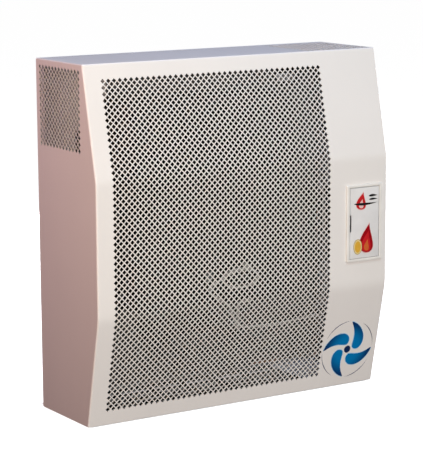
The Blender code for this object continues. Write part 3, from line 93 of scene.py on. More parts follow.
# Punched pattern: diamond holes on a square lattice, with one more in the middle of each square
PITCH = 0.010
FIELD_LEFT = -0.2425
FIELD_COLUMNS = 41
FIELD_ROWS = 53
HOLE_HALF = 0.0039  # half diagonal
OUTLET_COUNT = 13
SIDE_OUTLET_PITCH_Y = 0.0104
SIDE_OUTLET_HOLE_HALF = 0.0043
TOP_OUTLET_HOLE_HALF = 0.0036
SIDE_OUTLET_REAR_Y = 0.0825
SIDE_OUTLET_HIGH_Z = 0.553
TOP_OUTLET_RIGHT_X = 0.266
TOP_OUTLET_REAR_Y = 0.073
MARGIN_STEP = 0.005  # longest side of a face beside the holes
NARROW_MARGIN_STEP = 0.004
PLAIN_TOP_STEP = 0.020
DOORWAY_MARGIN = (0.003, 0.0015)  # how far the opening in the front sheet stays inside the bezel
SHARP_ANGLE = math.radians(32)  # edges that turn further than this aren't shaded smooth
BEVEL_ANGLE = math.radians(50)

# ---------------------------------------------------------------------------------------------
# Small helpers
# ---------------------------------------------------------------------------------------------


def add_object(name, mesh, material, body="casing", place=None):
    piece = bpy.data.objects.new(name, mesh)
    bpy.context.scene.collection.objects.link(piece)
    if place is not None:
        piece.matrix_world = place
    mesh.materials.clear()
    mesh.materials.append(material)
    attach(piece, body)
    return piece


def finished_mesh(piece):
    """Apply a piece's modifiers, and shade it smooth with its edges kept."""
    evaluated = piece.evaluated_get(bpy.context.evaluated_depsgraph_get())
    mesh = bpy.data.meshes.new_from_object(evaluated)
    piece.modifiers.clear()
    piece.data = mesh
    mesh.shade_smooth()
    mesh.set_sharp_from_angle(angle=SHARP_ANGLE)
    return piece


def extruded(name, outlines, move):
    """Closed prisms: flat outlines of 3-D points, each drawn out by the vector move."""
    bm = bmesh.new()
    for outline in outlines:
        face = bm.faces.new([bm.verts.new(point) for point in outline])
        made = bmesh.ops.extrude_face_region(bm, geom=[face])
        moved = [item for item in made["geom"] if isinstance(item, bmesh.types.BMVert)]
        bmesh.ops.translate(bm, vec=move, verts=moved)
    bmesh.ops.recalc_face_normals(bm, faces=bm.faces)
    mesh = bpy.data.meshes.new(name)
    bm.to_mesh(mesh)
    bm.free()
    return mesh


def soften(piece, width, segments):
    """Round a piece's sharp edges."""
    bevel = piece.modifiers.new("edges", "BEVEL")
    bevel.width = width
    bevel.segments = segments
    bevel.limit_method = "ANGLE"
    bevel.angle_limit = BEVEL_ANGLE
    finished_mesh(piece)


def steps(start, end, size):
    """Evenly spaced values from start to end, at most size apart."""
    count = max(1, math.ceil(abs(end - start) / size - 1e-6))
    return [start + (end - start) * index / count for index in range(count + 1)]


# ---------------------------------------------------------------------------------------------
# The casing's side view as a path of straight runs and arcs
# ---------------------------------------------------------------------------------------------


def bent_path(corners, radii):
    """Runs of (length, start, heading, curvature) through corners, each inner corner rounded."""
    runs = []
    here = Vector(corners[0])
    for corner, after, radius in zip(corners[1:], corners[2:], radii):
        corner = Vector(corner)
        heading = (corner - here).normalized()
        onward = (Vector(after) - corner).normalized()
        turn = math.atan2(heading.x * onward.y - heading.y * onward.x, heading.dot(onward))
        setback = radius * math.tan(abs(turn) / 2)
        runs.append(((corner - here).length - setback, here, heading, 0.0))
        length = radius * abs(turn)
        runs.append((length, corner - heading * setback, heading, turn / length))
        here = corner + onward * setback
    last = Vector(corners[-1])
    runs.append(((last - here).length, here, (last - here).normalized(), 0.0))
    return runs


def along(path, distance):
    """Place and inward direction at a distance along a path."""
    left = distance
    index = 0
    while index < len(path) - 1 and left > path[index][0]:
        left -= path[index][0]
        index += 1
    _, start, heading, curvature = path[index]
    inward = Vector((-heading.y, heading.x))
    if curvature == 0.0:
        return start + heading * left, inward
    angle = curvature * left
    place = start + heading * (math.sin(angle) / curvature) + inward * ((1 - math.cos(angle)) / curvature)
    return place, inward * math.cos(angle) - heading * math.sin(angle)


CASING_PATH = bent_path(
    [
        (WALL_Y, HEIGHT),
        (EDGE_Y, HEIGHT),
        (FACE_Y, HEIGHT - SLOPE_RISE),
        (FACE_Y, SLOPE_RISE),
        (EDGE_Y - HEM_FOLD * math.sin(SLOPE), HEM_FOLD * (1 - math.sin(SLOPE))),
    ],
    [TOP_FOLD, UPPER_BEND, LOWER_BEND],
)
RUN_ENDS = [sum(run[0] for run in CASING_PATH[: count + 1]) for count in range(len(CASING_PATH))]
UPRIGHT_RUN = 4  # after the top, its fold, the upper slope and the upper bend
STRAIGHT = 1.0  # a step longer than any run, for its two ends only
OUTLINE_STEPS = (STRAIGHT, 0.001, STRAIGHT, 0.002, STRAIGHT, 0.005, STRAIGHT)  # one for each run
FOLD_STEP = 0.0005  # along the front sheet's fold to the top
TOP_LENGTH = RUN_ENDS[0]
PATH_LENGTH = RUN_ENDS[-1]
FLAT_HALF = HALF_WIDTH - SIDE_FOLD


def wrap_point(across, distance):
    """A point of the top and front sheet, whose side edges turn back round the corners."""
    place, inward = along(CASING_PATH, distance)
    inset = 0.0
    x = across
    beyond = abs(across) - FLAT_HALF
    if beyond > 0:
        angle = beyond / SIDE_FOLD
        x = math.copysign(FLAT_HALF + SIDE_FOLD * math.sin(angle), across)
        inset = SIDE_FOLD * (1 - math.cos(angle))
    place = place + inward * inset
    return Vector((x, place.x, place.y))


def path_distance_at_height(z):
    """Distance along the casing path of a height on its upright middle."""
    start = CASING_PATH[UPRIGHT_RUN][1]
    return RUN_ENDS[UPRIGHT_RUN - 1] + start.y - z


# ---------------------------------------------------------------------------------------------
# Flat punched sheets, drawn in their own plane and then bent
# ---------------------------------------------------------------------------------------------


class FlatSheet:
    """A flat mesh whose faces share their corners."""

    def __init__(self):
        self.mesh = bmesh.new()
        self.corners = {}

    def corner(self, across, distance):
        key = (round(across * 1e6), round(distance * 1e6))
        if key not in self.corners:
            self.corners[key] = self.mesh.verts.new((across, distance, 0.0))
        return self.corners[key]

    def face(self, *points):
        self.mesh.faces.new([self.corner(*point) for point in points])

    def block(self, across, distances, skip=None):
        """A grid of four-sided faces, but for those whose middle is inside the skip box."""
        for left, right in zip(across, across[1:]):
            for near, far in zip(distances, distances[1:]):
                if skip and inside(skip, (left + right) / 2, (near + far) / 2):
                    continue
                self.face((left, near), (left, far), (right, far), (right, near))

    def strip(self, left, left_stops, right, right_stops):
        """Faces between two rails whose points lie at different distances."""
        i = 0
        j = 0
        while i < len(left_stops) - 1 or j < len(right_stops) - 1:
            at_left = left_stops[i]
            at_right = right_stops[j]
            next_left = left_stops[i + 1] if i < len(left_stops) - 1 else math.inf
            next_right = right_stops[j + 1] if j < len(right_stops) - 1 else math.inf
            if abs(next_left - next_right) < 1e-7:
                self.face((left, at_left), (left, next_left), (right, next_right), (right, at_right))
                i += 1
                j += 1
            elif next_left < next_right:
                self.face((left, at_left), (left, next_left), (right, at_right))
                i += 1
            else:
                self.face((left, at_left), (right, next_right), (right, at_right))
                j += 1


def inside(box, across, distance):
    return box[0] < across < box[1] and box[2] < distance < box[3]


def punch(sheet, first, count, pitch, half):
    """Diamond-shaped cells round diamond holes, filled up to a rectangle. Returns its sides' stops."""
    cell = (pitch[0] / 2, pitch[1] / 2)
    for extra in (0, 1):
        for column in range(count[0] - extra):
            for row in range(count[1] - extra):
                across = first[0] + column * pitch[0] + extra * cell[0]
                distance = first[1] + row * pitch[1] + extra * cell[1]
                punched_cell(sheet, across, distance, cell, half)
    last = (first[0] + (count[0] - 1) * pitch[0], first[1] + (count[1] - 1) * pitch[1])
    low = (first[0] - cell[0], first[1] - cell[1])
    high = (last[0] + cell[0], last[1] + cell[1])
    across_stops = [low[0]] + [first[0] + i * pitch[0] for i in range(count[0])] + [high[0]]
    stops = [low[1]] + [first[1] + i * pitch[1] for i in range(count[1])] + [high[1]]
    for left, right in zip(across_stops[1:-2], across_stops[2:-1]):
        middle = (left + right) / 2
        sheet.face((left, low[1]), (middle, first[1]), (right, low[1]))
        sheet.face((left, high[1]), (right, high[1]), (middle, last[1]))
    for near, far in zip(stops[1:-2], stops[2:-1]):
        middle = (near + far) / 2
        sheet.face((low[0], near), (low[0], far), (first[0], middle))
        sheet.face((high[0], near), (last[0], middle), (high[0], far))
    sheet.face((low[0], low[1]), (low[0], first[1]), (first[0], low[1]))
    sheet.face((high[0], low[1]), (last[0], low[1]), (high[0], first[1]))
    sheet.face((low[0], high[1]), (first[0], high[1]), (low[0], last[1]))
    sheet.face((high[0], high[1]), (high[0], last[1]), (last[0], high[1]))
    return across_stops, stops


def punched_cell(sheet, across, distance, cell, half):
    turns = ((0, -1), (-1, 0), (0, 1), (1, 0))
    outer = [(across + a * cell[0], distance + b * cell[1]) for a, b in turns]
    inner = [(across + a * half[0], distance + b * half[1]) for a, b in turns]
    for index in range(4):
        after = (index + 1) % 4
        sheet.face(outer[index], outer[after], inner[after], inner[index])


def bend_sheet(sheet, name, place, material):
    """Bend a flat sheet to its place, give it thickness inwards, and make it a piece."""
    for vertex in sheet.mesh.verts:
        vertex.co = place(vertex.co.x, vertex.co.y)
    mesh = bpy.data.meshes.new(name)
    sheet.mesh.normal_update()
    sheet.mesh.to_mesh(mesh)
    sheet.mesh.free()
    piece = add_object(name, mesh, material)
    solid = piece.modifiers.new("sheet", "SOLIDIFY")
    solid.thickness = SHEET
    solid.offset = -1.0
    return finished_mesh(piece)


def lip_stops(sign):
    """Stops across a side fold, every 15 degrees from its outer edge."""
    edge = FLAT_HALF + SIDE_FOLD * math.pi / 2
    return steps(sign * edge, sign * FLAT_HALF, SIDE_FOLD * math.pi / 12)


def merged(*lists):
    """All stops in order, without near doubles."""
    found = []
    for stop in sorted(value for stops in lists for value in stops):
        if not found or stop - found[-1] > 2e-6:
            found.append(stop)
    return found


def build_front(material):
    """The bowed punched front sheet, with its folds to the top, the sides and the hem."""
    sheet = FlatSheet()
    first_row = path_distance_at_height(HEIGHT / 2) - (FIELD_ROWS - 1) / 2 * PITCH
    columns, rows = punch(
        sheet, (FIELD_LEFT, first_row), (FIELD_COLUMNS, FIELD_ROWS), (PITCH, PITCH), (HOLE_HALF, HOLE_HALF)
    )
    door = (
        BEZEL_LOW.x + DOORWAY_MARGIN[0],
        BEZEL_HIGH.x - DOORWAY_MARGIN[0],
        path_distance_at_height(BEZEL_HIGH.z - DOORWAY_MARGIN[1]),
        path_distance_at_height(BEZEL_LOW.z + DOORWAY_MARGIN[1]),
    )
    left = merged(lip_stops(-1), steps(-FLAT_HALF, columns[0], MARGIN_STEP))
    right = merged(
        steps(columns[-1], door[0], MARGIN_STEP),
        steps(door[0], door[1], MARGIN_STEP),
        steps(door[1], FLAT_HALF, NARROW_MARGIN_STEP),
        lip_stops(1),
    )
    across = merged(left, columns, right)
    above = merged(steps(TOP_LENGTH, RUN_ENDS[1], FOLD_STEP), steps(RUN_ENDS[1], rows[0], MARGIN_STEP))
    below = steps(rows[-1], PATH_LENGTH, MARGIN_STEP)
    sheet.block(across, above)
    sheet.block(across, below)
    beside = merged(rows, [(a + b) / 2 for a, b in zip(rows[1:-2], rows[2:-1])])
    sheet.block(left[:-1], beside)
    sheet.strip(left[-2], beside, left[-1], rows)
    beside_door = merged(beside, door[2:])
    sheet.strip(right[0], rows, right[1], beside_door)
    sheet.block(right[1:], beside_door, door)
    piece = bend_sheet(sheet, "front_skin", wrap_point, material)
    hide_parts("front_panel")


def build_top(material):
    """The top sheet, with a punched outlet at its right end."""
    sheet = FlatSheet()
    first = (TOP_OUTLET_RIGHT_X - (OUTLET_COUNT - 1) * PITCH, WALL_Y - TOP_OUTLET_REAR_Y)
    half = (TOP_OUTLET_HOLE_HALF, TOP_OUTLET_HOLE_HALF)
    columns, rows = punch(sheet, first, (OUTLET_COUNT, OUTLET_COUNT), (PITCH, PITCH), half)
    left = merged(lip_stops(-1), steps(-FLAT_HALF, columns[0], PLAIN_TOP_STEP))
    right = merged([columns[-1]], [FLAT_HALF], lip_stops(1))
    across = merged(left, columns, right)
    sheet.block(across, steps(0.0, rows[0], MARGIN_STEP))
    sheet.block(across, steps(rows[-1], TOP_LENGTH, MARGIN_STEP))
    sheet.block(left, rows)
    sheet.block(right, rows)
    piece = bend_sheet(sheet, "top_skin", wrap_point, material)
    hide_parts("top_panel")


def side_outline():
    """Side view (y, z) of a side sheet, which starts where the folds end."""
    points = []
    start = 0.0
    for end, size in zip(RUN_ENDS, OUTLINE_STEPS):
        points += [inset_place(distance) for distance in steps(start, end, size)[:-1]]
        start = end
    points.append(inset_place(PATH_LENGTH))
    points.append(Vector((WALL_Y, points[-1].y)))
    return points


def inset_place(distance):
    place, inward = along(CASING_PATH, distance)
    return place + inward * SIDE_FOLD


def build_side(name, sign, material, node):
    """A side sheet with a punched outlet near its top."""
    sheet = FlatSheet()
    span = (OUTLET_COUNT - 1) * SIDE_OUTLET_PITCH_Y
    first = (SIDE_OUTLET_REAR_Y - span, SIDE_OUTLET_HIGH_Z - (OUTLET_COUNT - 1) * PITCH)
    half = (SIDE_OUTLET_HOLE_HALF, SIDE_OUTLET_HOLE_HALF)
    columns, rows = punch(sheet, first, (OUTLET_COUNT, OUTLET_COUNT), (SIDE_OUTLET_PITCH_Y, PITCH), half)
    field = [Vector((stop, rows[0])) for stop in columns]
    field += [Vector((columns[-1], stop)) for stop in rows[1:]]
    field += [Vector((stop, rows[-1])) for stop in reversed(columns[:-1])]
    field += [Vector((columns[0], stop)) for stop in reversed(rows[1:-1])]
    outline = side_outline()
    points = outline + field
    edges = [(index, (index + 1) % len(outline)) for index in range(len(outline))]
    base = len(outline)
    edges += [(base + index, base + (index + 1) % len(field)) for index in range(len(field))]
    found, _, faces, _, _, _ = delaunay_2d_cdt(points, edges, [], 1, 1e-7)
    box = (columns[0], columns[-1], rows[0], rows[-1])
    for face in faces:
        middle = sum((found[index] for index in face), Vector((0, 0))) / 3
        if not inside(box, middle.x, middle.y):
            sheet.face(*[tuple(found[index]) for index in face])
    bmesh.ops.recalc_face_normals(sheet.mesh, faces=sheet.mesh.faces)
    sheet.mesh.normal_update()
    up = sum(face.normal.z for face in sheet.mesh.faces)
    if (up > 0) != (sign > 0):
        bmesh.ops.reverse_faces(sheet.mesh, faces=sheet.mesh.faces)

    def place(y, z):
        return Vector((sign * HALF_WIDTH, y, z))

    piece = bend_sheet(sheet, name, place, material)
    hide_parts(node)


# ---------------------------------------------------------------------------------------------
# Materials
# ---------------------------------------------------------------------------------------------
# painted shade: the black of the dark inner faces of the chassis and the tray
PAINTED_SHADE_BLACK = (0.006, 0.0057, 0.0054)
# grey of the chassis's inner left end, and painted shade on the left hook tab
PLAIN_GREY = (0.34, 0.32, 0.31)
# painted light: the pool of light from the top outlet on the tray's right end
PAINTED_LIGHT_WHITE = (0.92, 0.93, 0.97)
TRAY_LIGHT_START_X = 0.150  # the tray has painted light, white, to the right of this, and painted shade, black, to the left
GREY_END_X = -0.150  # the chassis is grey to the left of this, and inside it is painted shade black to the right
SHADOW_LEFT_X = -0.208  # but black, a painted shadow of the heat exchanger, where the grey end is both right of this
SHADOW_HIGH_Z = 0.445  # and below this
ZINC_METALLIC = 0.6
ZINC_CELLS = 160.0
INK_GLOSS = 0.15
TURNED_IN = -0.5  # a face's normal across the sheet, below which it is an inner face
TEXTURE_MIDDLE = (0.3, 0.7)  # where most values of a noise lie


class Finish:
    """A procedural material around one Principled shader."""

    def __init__(self, name, color, roughness, metallic=0.0):
        self.material = bpy.data.materials.new(name)
        self.material.use_nodes = True
        self.tree = self.material.node_tree
        self.shader = self.tree.nodes["Principled BSDF"]
        self.shader.inputs["Base Color"].default_value = (*color, 1.0)
        self.shader.inputs["Roughness"].default_value = roughness
        self.shader.inputs["Metallic"].default_value = metallic
        self.place = self.node("ShaderNodeTexCoord").outputs["Object"]

    def node(self, kind, **values):
        made = self.tree.nodes.new(kind)
        for name, value in values.items():
            setattr(made, name, value)
        return made

    def link(self, source, target):
        self.tree.links.new(source, target)

    def noise(self, scale, detail=2.0, stretch=None):
        texture = self.node("ShaderNodeTexNoise")
        texture.inputs["Scale"].default_value = scale
        texture.inputs["Detail"].default_value = detail
        source = self.place
        if stretch:
            mapping = self.node("ShaderNodeMapping")
            mapping.inputs["Scale"].default_value = stretch
            self.link(self.place, mapping.inputs["Vector"])
            source = mapping.outputs["Vector"]
        self.link(source, texture.inputs["Vector"])
        return texture.outputs["Fac"]

    def cells(self, scale):
        texture = self.node("ShaderNodeTexVoronoi")
        texture.inputs["Scale"].default_value = scale
        self.link(self.place, texture.inputs["Vector"])
        return texture.outputs["Color"]

    def math(self, operation, *values):
        """A math node on sockets and numbers."""
        made = self.node("ShaderNodeMath", operation=operation)
        for socket, value in zip(made.inputs, values):
            if isinstance(value, (int, float)):
                socket.default_value = value
            else:
                self.link(value, socket)
        return made.outputs["Value"]

    def spread(self, value, low, high):
        """Map the middle of a texture's range to the span from low to high."""
        ranged = self.node("ShaderNodeMapRange")
        ranged.inputs["From Min"].default_value = TEXTURE_MIDDLE[0]
        ranged.inputs["From Max"].default_value = TEXTURE_MIDDLE[1]
        ranged.inputs["To Min"].default_value = low
        ranged.inputs["To Max"].default_value = high
        self.link(value, ranged.inputs["Value"])
        return ranged.outputs["Result"]

    def mix(self, factor, first, second):
        """A colour between two, each a socket or a plain colour."""
        made = self.node("ShaderNodeMix", data_type="RGBA")
        for socket, color in ((made.inputs["A"], first), (made.inputs["B"], second)):
            if isinstance(color, tuple):
                socket.default_value = (*color, 1.0)
            else:
                self.link(color, socket)
        self.link(factor, made.inputs["Factor"])
        return made.outputs["Result"]

    def two_colors(self, value, dark, light):
        self.link(self.mix(self.spread(value, 0.0, 1.0), dark, light), self.shader.inputs["Base Color"])

    def rough(self, value, low, high):
        self.link(self.spread(value, low, high), self.shader.inputs["Roughness"])

    def bump(self, value, strength, distance):
        bump = self.node("ShaderNodeBump")
        bump.inputs["Strength"].default_value = strength
        bump.inputs["Distance"].default_value = distance
        self.link(value, bump.inputs["Height"])
        self.link(bump.outputs["Normal"], self.shader.inputs["Normal"])


def shaded(color, factor):
    return tuple(channel * factor for channel in color)


def powder_coat(name, color, roughness=0.42):
    finish = Finish(name, color, roughness)
    finish.two_colors(finish.noise(9.0, 3.0), shaded(color, 0.985), shaded(color, 1.012))
    finish.rough(finish.noise(60.0, 3.0), roughness - 0.03, roughness + 0.05)
    finish.bump(finish.noise(620.0, 2.0), 0.10, 0.0002)
    return finish.material


def moulded(name, color, roughness, grain=1500.0, strength=0.08, gloss=0.5):
    finish = Finish(name, color, roughness)
    finish.shader.inputs["Specular IOR Level"].default_value = gloss
    finish.two_colors(finish.noise(40.0, 2.0), shaded(color, 0.95), shaded(color, 1.04))
    finish.rough(finish.noise(120.0, 3.0), roughness - 0.04, roughness + 0.06)
    finish.bump(finish.noise(grain, 2.0), strength, 0.0001)
    return finish.material


def zinc_sheet(name, color):
    finish = Finish(name, color, 0.42, 1.0)
    finish.two_colors(finish.cells(ZINC_CELLS), shaded(color, 0.90), shaded(color, 1.06))
    finish.rough(finish.noise(45.0, 4.0), 0.36, 0.56)
    finish.bump(finish.noise(900.0, 2.0), 0.05, 0.0001)
    return finish.material


def brushed(name, color, roughness):
    finish = Finish(name, color, roughness, 1.0)
    grain = finish.noise(300.0, 3.0, (1.0, 1.0, 14.0))
    finish.two_colors(grain, shaded(color, 0.88), shaded(color, 1.06))
    finish.rough(grain, roughness - 0.05, roughness + 0.10)
    finish.bump(grain, 0.04, 0.0001)
    return finish.material


def cast_metal(name, color):
    finish = Finish(name, color, 0.5)
    finish.shader.inputs["Specular IOR Level"].default_value = 0.25
    finish.two_colors(finish.noise(120.0, 4.0), shaded(color, 0.82), shaded(color, 1.05))
    finish.rough(finish.noise(90.0, 3.0), 0.44, 0.62)
    finish.bump(finish.noise(1100.0, 3.0), 0.25, 0.0003)
    return finish.material


def dulled_metal(name, color, tarnish):
    finish = Finish(name, color, 0.34, 1.0)
    finish.two_colors(finish.noise(70.0, 4.0), tarnish, color)
    finish.rough(finish.noise(110.0, 3.0), 0.24, 0.44)
    finish.bump(finish.noise(700.0, 2.0), 0.03, 0.0001)
    return finish.material


def heat_paint(name, color):
    finish = Finish(name, color, 0.82)
    finish.shader.inputs["Specular IOR Level"].default_value = 0.12
    finish.two_colors(finish.noise(35.0, 5.0), shaded(color, 0.7), shaded(color, 1.7))
    finish.rough(finish.noise(80.0, 3.0), 0.74, 0.92)
    finish.bump(finish.noise(1400.0, 3.0), 0.3, 0.0002)
    return finish.material


def clear_glass(name, color):
    finish = Finish(name, color, 0.08)
    finish.shader.inputs["Transmission Weight"].default_value = 1.0
    finish.shader.inputs["IOR"].default_value = 1.47
    finish.two_colors(finish.noise(200.0, 2.0), shaded(color, 0.9), color)
    return finish.material


def ink(name, color):
    finish = Finish(name, color, 0.34)
    finish.shader.inputs["Specular IOR Level"].default_value = INK_GLOSS
    finish.two_colors(finish.noise(150.0, 2.0), shaded(color, 0.94), shaded(color, 1.05))
    finish.rough(finish.noise(300.0, 2.0), 0.30, 0.42)
    return finish.material


def fading_ink(name, inner, outer, start, end):
    """An ink that changes colour with the distance from the middle of its mark."""
    finish = Finish(name, inner, 0.34)
    finish.shader.inputs["Specular IOR Level"].default_value = INK_GLOSS
    length = finish.node("ShaderNodeVectorMath", operation="LENGTH")
    finish.link(finish.place, length.inputs[0])
    ranged = finish.node("ShaderNodeMapRange", interpolation_type="SMOOTHSTEP")
    ranged.inputs["From Min"].default_value = start
    ranged.inputs["From Max"].default_value = end
    finish.link(length.outputs["Value"], ranged.inputs["Value"])
    finish.link(finish.mix(ranged.outputs["Result"], inner, outer), finish.shader.inputs["Base Color"])
    return finish.material


def make_inks():
    return {
        "blue": fading_ink("blue_ink", (0.001, 0.185, 0.46), (0.003, 0.026, 0.12), 0.020, 0.050),
        "pale_blue": ink("pale_blue_ink", (0.42, 0.66, 0.84)),
        "navy": ink("navy_ink", (0.006, 0.022, 0.09)),
        "red": ink("red_ink", (0.56, 0.016, 0.020)),
        "dark_red": ink("dark_red_ink", (0.33, 0.003, 0.008)),
        "pink": ink("pink_ink", (0.80, 0.53, 0.50)),
        "orange": ink("orange_ink", (0.62, 0.13, 0.03)),
        "ochre": ink("ochre_ink", (0.42, 0.26, 0.06)),
        "yellow": ink("yellow_ink", (0.72, 0.40, 0.05)),
        "pale_yellow": ink("pale_yellow_ink", (0.78, 0.64, 0.30)),
        "black": ink("black_ink", (0.012, 0.012, 0.013)),
    }


def light_and_shade_inside(finish, axis, side, inner):
    """Zinc-coated sheet whose faces turned away from the given side of the axis get the inner colour:
    painted shade, and on the tray also painted light.
    """
    facing = finish.node("ShaderNodeSeparateXYZ")
    finish.link(finish.node("ShaderNodeNewGeometry").outputs["True Normal"], facing.inputs[0])
    outward = finish.math("MULTIPLY", facing.outputs[axis], side)
    bare = finish.math("GREATER_THAN", outward, TURNED_IN)
    color = finish.mix(bare, inner, spangle(finish))
    finish.link(color, finish.shader.inputs["Base Color"])
    finish.link(finish.math("MULTIPLY", bare, ZINC_METALLIC), finish.shader.inputs["Metallic"])
    finish.rough(finish.noise(45.0, 4.0), 0.46, 0.66)
    finish.bump(finish.noise(900.0, 2.0), 0.05, 0.0001)
    return finish.material


def spangle(finish):
    """The patchy grey of a zinc coating."""
    patches = finish.spread(finish.cells(ZINC_CELLS), 0.0, 1.0)
    return finish.mix(patches, (0.52, 0.53, 0.54), (0.62, 0.63, 0.64))


def make_chassis_shade():
    """Painted shade inside: matt black behind the heat exchanger, grey at the left end behind the side
    outlets, and black again in a painted shadow of the exchanger on part of that end.
    """
    finish = Finish("chassis_sheet", PAINTED_SHADE_BLACK, 0.45)
    place = finish.node("ShaderNodeSeparateXYZ")
    finish.link(finish.place, place.inputs[0])
    left_end = finish.math("LESS_THAN", place.outputs["X"], GREY_END_X)
    beside = finish.math("GREATER_THAN", place.outputs["X"], SHADOW_LEFT_X)
    below = finish.math("LESS_THAN", place.outputs["Z"], SHADOW_HIGH_Z)
    unshadowed = finish.math("SUBTRACT", 1.0, finish.math("MULTIPLY", beside, below))
    grey = finish.math("MULTIPLY", left_end, unshadowed)
    return light_and_shade_inside(finish, "Y", 1.0, finish.mix(grey, PAINTED_SHADE_BLACK, PLAIN_GREY))


def make_tray_light_and_shade():
    """Painted shade in matt black on the inner faces below the burner, and painted light in white at the
    right end, where light through the top outlet falls.
    """
    finish = Finish("tray_sheet", PAINTED_SHADE_BLACK, 0.45)
    place = finish.node("ShaderNodeSeparateXYZ")
    finish.link(finish.place, place.inputs[0])
    lit_end = finish.math("GREATER_THAN", place.outputs["X"], TRAY_LIGHT_START_X)
    return light_and_shade_inside(finish, "Z", -1.0, finish.mix(lit_end, PAINTED_SHADE_BLACK, PAINTED_LIGHT_WHITE))


def make_finishes():
    return {
        "casing_enamel": powder_coat("cream_enamel", (0.84, 0.80, 0.76)),
        "door_plastic": moulded("white_plastic", (0.82, 0.79, 0.74), 0.38),
        "galvanised_steel": zinc_sheet("zinc_sheet", (0.60, 0.61, 0.62)),
        # heat-resistant black of the exchanger; the record also gives it to small inner parts, such as the
        # sight-glass ring and the access bolts, that are blackened as painted shade
        "heat_black": heat_paint("heat_black", (0.0060, 0.0056, 0.0052)),
        "stainless_steel": brushed("brushed_steel", (0.58, 0.56, 0.53), 0.30),
        # painted shade: the valve casting is near black instead of the pale grey of cast aluminium, for
        # the shade inside the casing
        "valve_casting": cast_metal("valve_casting", (0.020, 0.020, 0.021)),
        "brass": dulled_metal("brass", (0.74, 0.55, 0.26), (0.46, 0.34, 0.18)),
        "copper": dulled_metal("copper", (0.75, 0.40, 0.26), (0.42, 0.23, 0.16)),
        "black_plastic": moulded("black_plastic", (0.012, 0.012, 0.013), 0.50, 1200.0, 0.18, 0.3),
        "red_plastic": moulded("red_plastic", (0.55, 0.035, 0.030), 0.30, 900.0, 0.04),
        "sight_glass": clear_glass("sight_glass", (0.52, 0.58, 0.59)),
        "ceramic": moulded("ceramic", (0.86, 0.84, 0.80), 0.22, 500.0, 0.03),
        # painted shade: the cable sheath is a dark grey instead of a pale one, for the dim light inside
        # the casing
        "cable_sheath": moulded("cable_sheath", (0.36, 0.34, 0.32), 0.50, 800.0, 0.10),
        "black_sleeve": moulded("black_sleeve", (0.008, 0.008, 0.009), 0.66, 900.0, 0.25, 0.2),
    }


# ---------------------------------------------------------------------------------------------
# Access door
# ---------------------------------------------------------------------------------------------
DOOR_X = (BEZEL_LOW.x + BEZEL_HIGH.x) / 2
DOOR_Z = (BEZEL_LOW.z + BEZEL_HIGH.z) / 2
OPENING_HALF = (0.030, 0.0595)
COLLAR_HALF = (0.032, 0.0615)
COLLAR_BACK = -0.0085  # height over the front sheet, as in the bezel's section
BEZEL_HALF = ((BEZEL_HIGH.x - BEZEL_LOW.x) / 2, (BEZEL_HIGH.z - BEZEL_LOW.z) / 2)
BEZEL_RIM = 0.0002
BEZEL_CORNER = 0.0022  # radius at the outer edge
BEZEL_INNER_CORNER = 0.0008
COLLAR_CORNER = 0.0012
FINGER_SLOT = (0.0027, 0.014)  # depth and half height
LEAF_CORNER = 0.0008
SOFT_EDGE = 0.0004


def rounded_rectangle(half, radius, count=5):
    """Corner arcs of a rectangle, anticlockwise from the right."""
    points = []
    for quarter, (a, b) in enumerate(((1, 1), (-1, 1), (-1, -1), (1, -1))):
        for index in range(count):
            angle = math.pi / 2 * (quarter + index / (count - 1))
            x = a * (half[0] - radius) + radius * math.cos(angle)
            z = b * (half[1] - radius) + radius * math.sin(angle)
            points.append((x, z))
    return points


def loft_rings(rings):
    """Faces between closed rings of points, the last one joined to the first."""
    bm = bmesh.new()
    made = [[bm.verts.new(point) for point in ring] for ring in rings]
    for ring, after in zip(made, made[1:] + made[:1]):
        for index in range(len(ring)):
            onward = (index + 1) % len(ring)
            bm.faces.new([ring[index], ring[onward], after[onward], after[index]])
    bmesh.ops.recalc_face_normals(bm, faces=bm.faces)
    mesh = bpy.data.meshes.new("rings")
    bm.to_mesh(mesh)
    bm.free()
    return mesh


def build_bezel(material):
    """Raised picture-frame bezel with soft edges and a collar through the front sheet."""
    section = [  # share of the way in from the outer edge, height over the front sheet
        (0.00, BEZEL_RIM),
        (0.00, 0.0016),
        (0.03, 0.0022),
        (0.09, 0.0027),
        (0.20, 0.0030),
        (0.80, 0.0030),
        (0.92, 0.0028),
        (0.98, 0.0024),
        (1.00, 0.0018),
        (1.00, COLLAR_BACK),
    ]
    rings = []
    for share, height in section:
        half = [outer + (inner - outer) * share for outer, inner in zip(BEZEL_HALF, OPENING_HALF)]
        radius = BEZEL_CORNER + (BEZEL_INNER_CORNER - BEZEL_CORNER) * share
        outline = rounded_rectangle(half, radius)
        rings.append([(DOOR_X + x, FACE_Y - height, DOOR_Z + z) for x, z in outline])
    for height in (COLLAR_BACK, BEZEL_RIM):
        outline = rounded_rectangle(COLLAR_HALF, COLLAR_CORNER)
        rings.append([(DOOR_X + x, FACE_Y - height, DOOR_Z + z) for x, z in outline])
    piece = add_object("bezel_frame", loft_rings(rings), material)
    finished_mesh(piece)
    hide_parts("door_bezel")


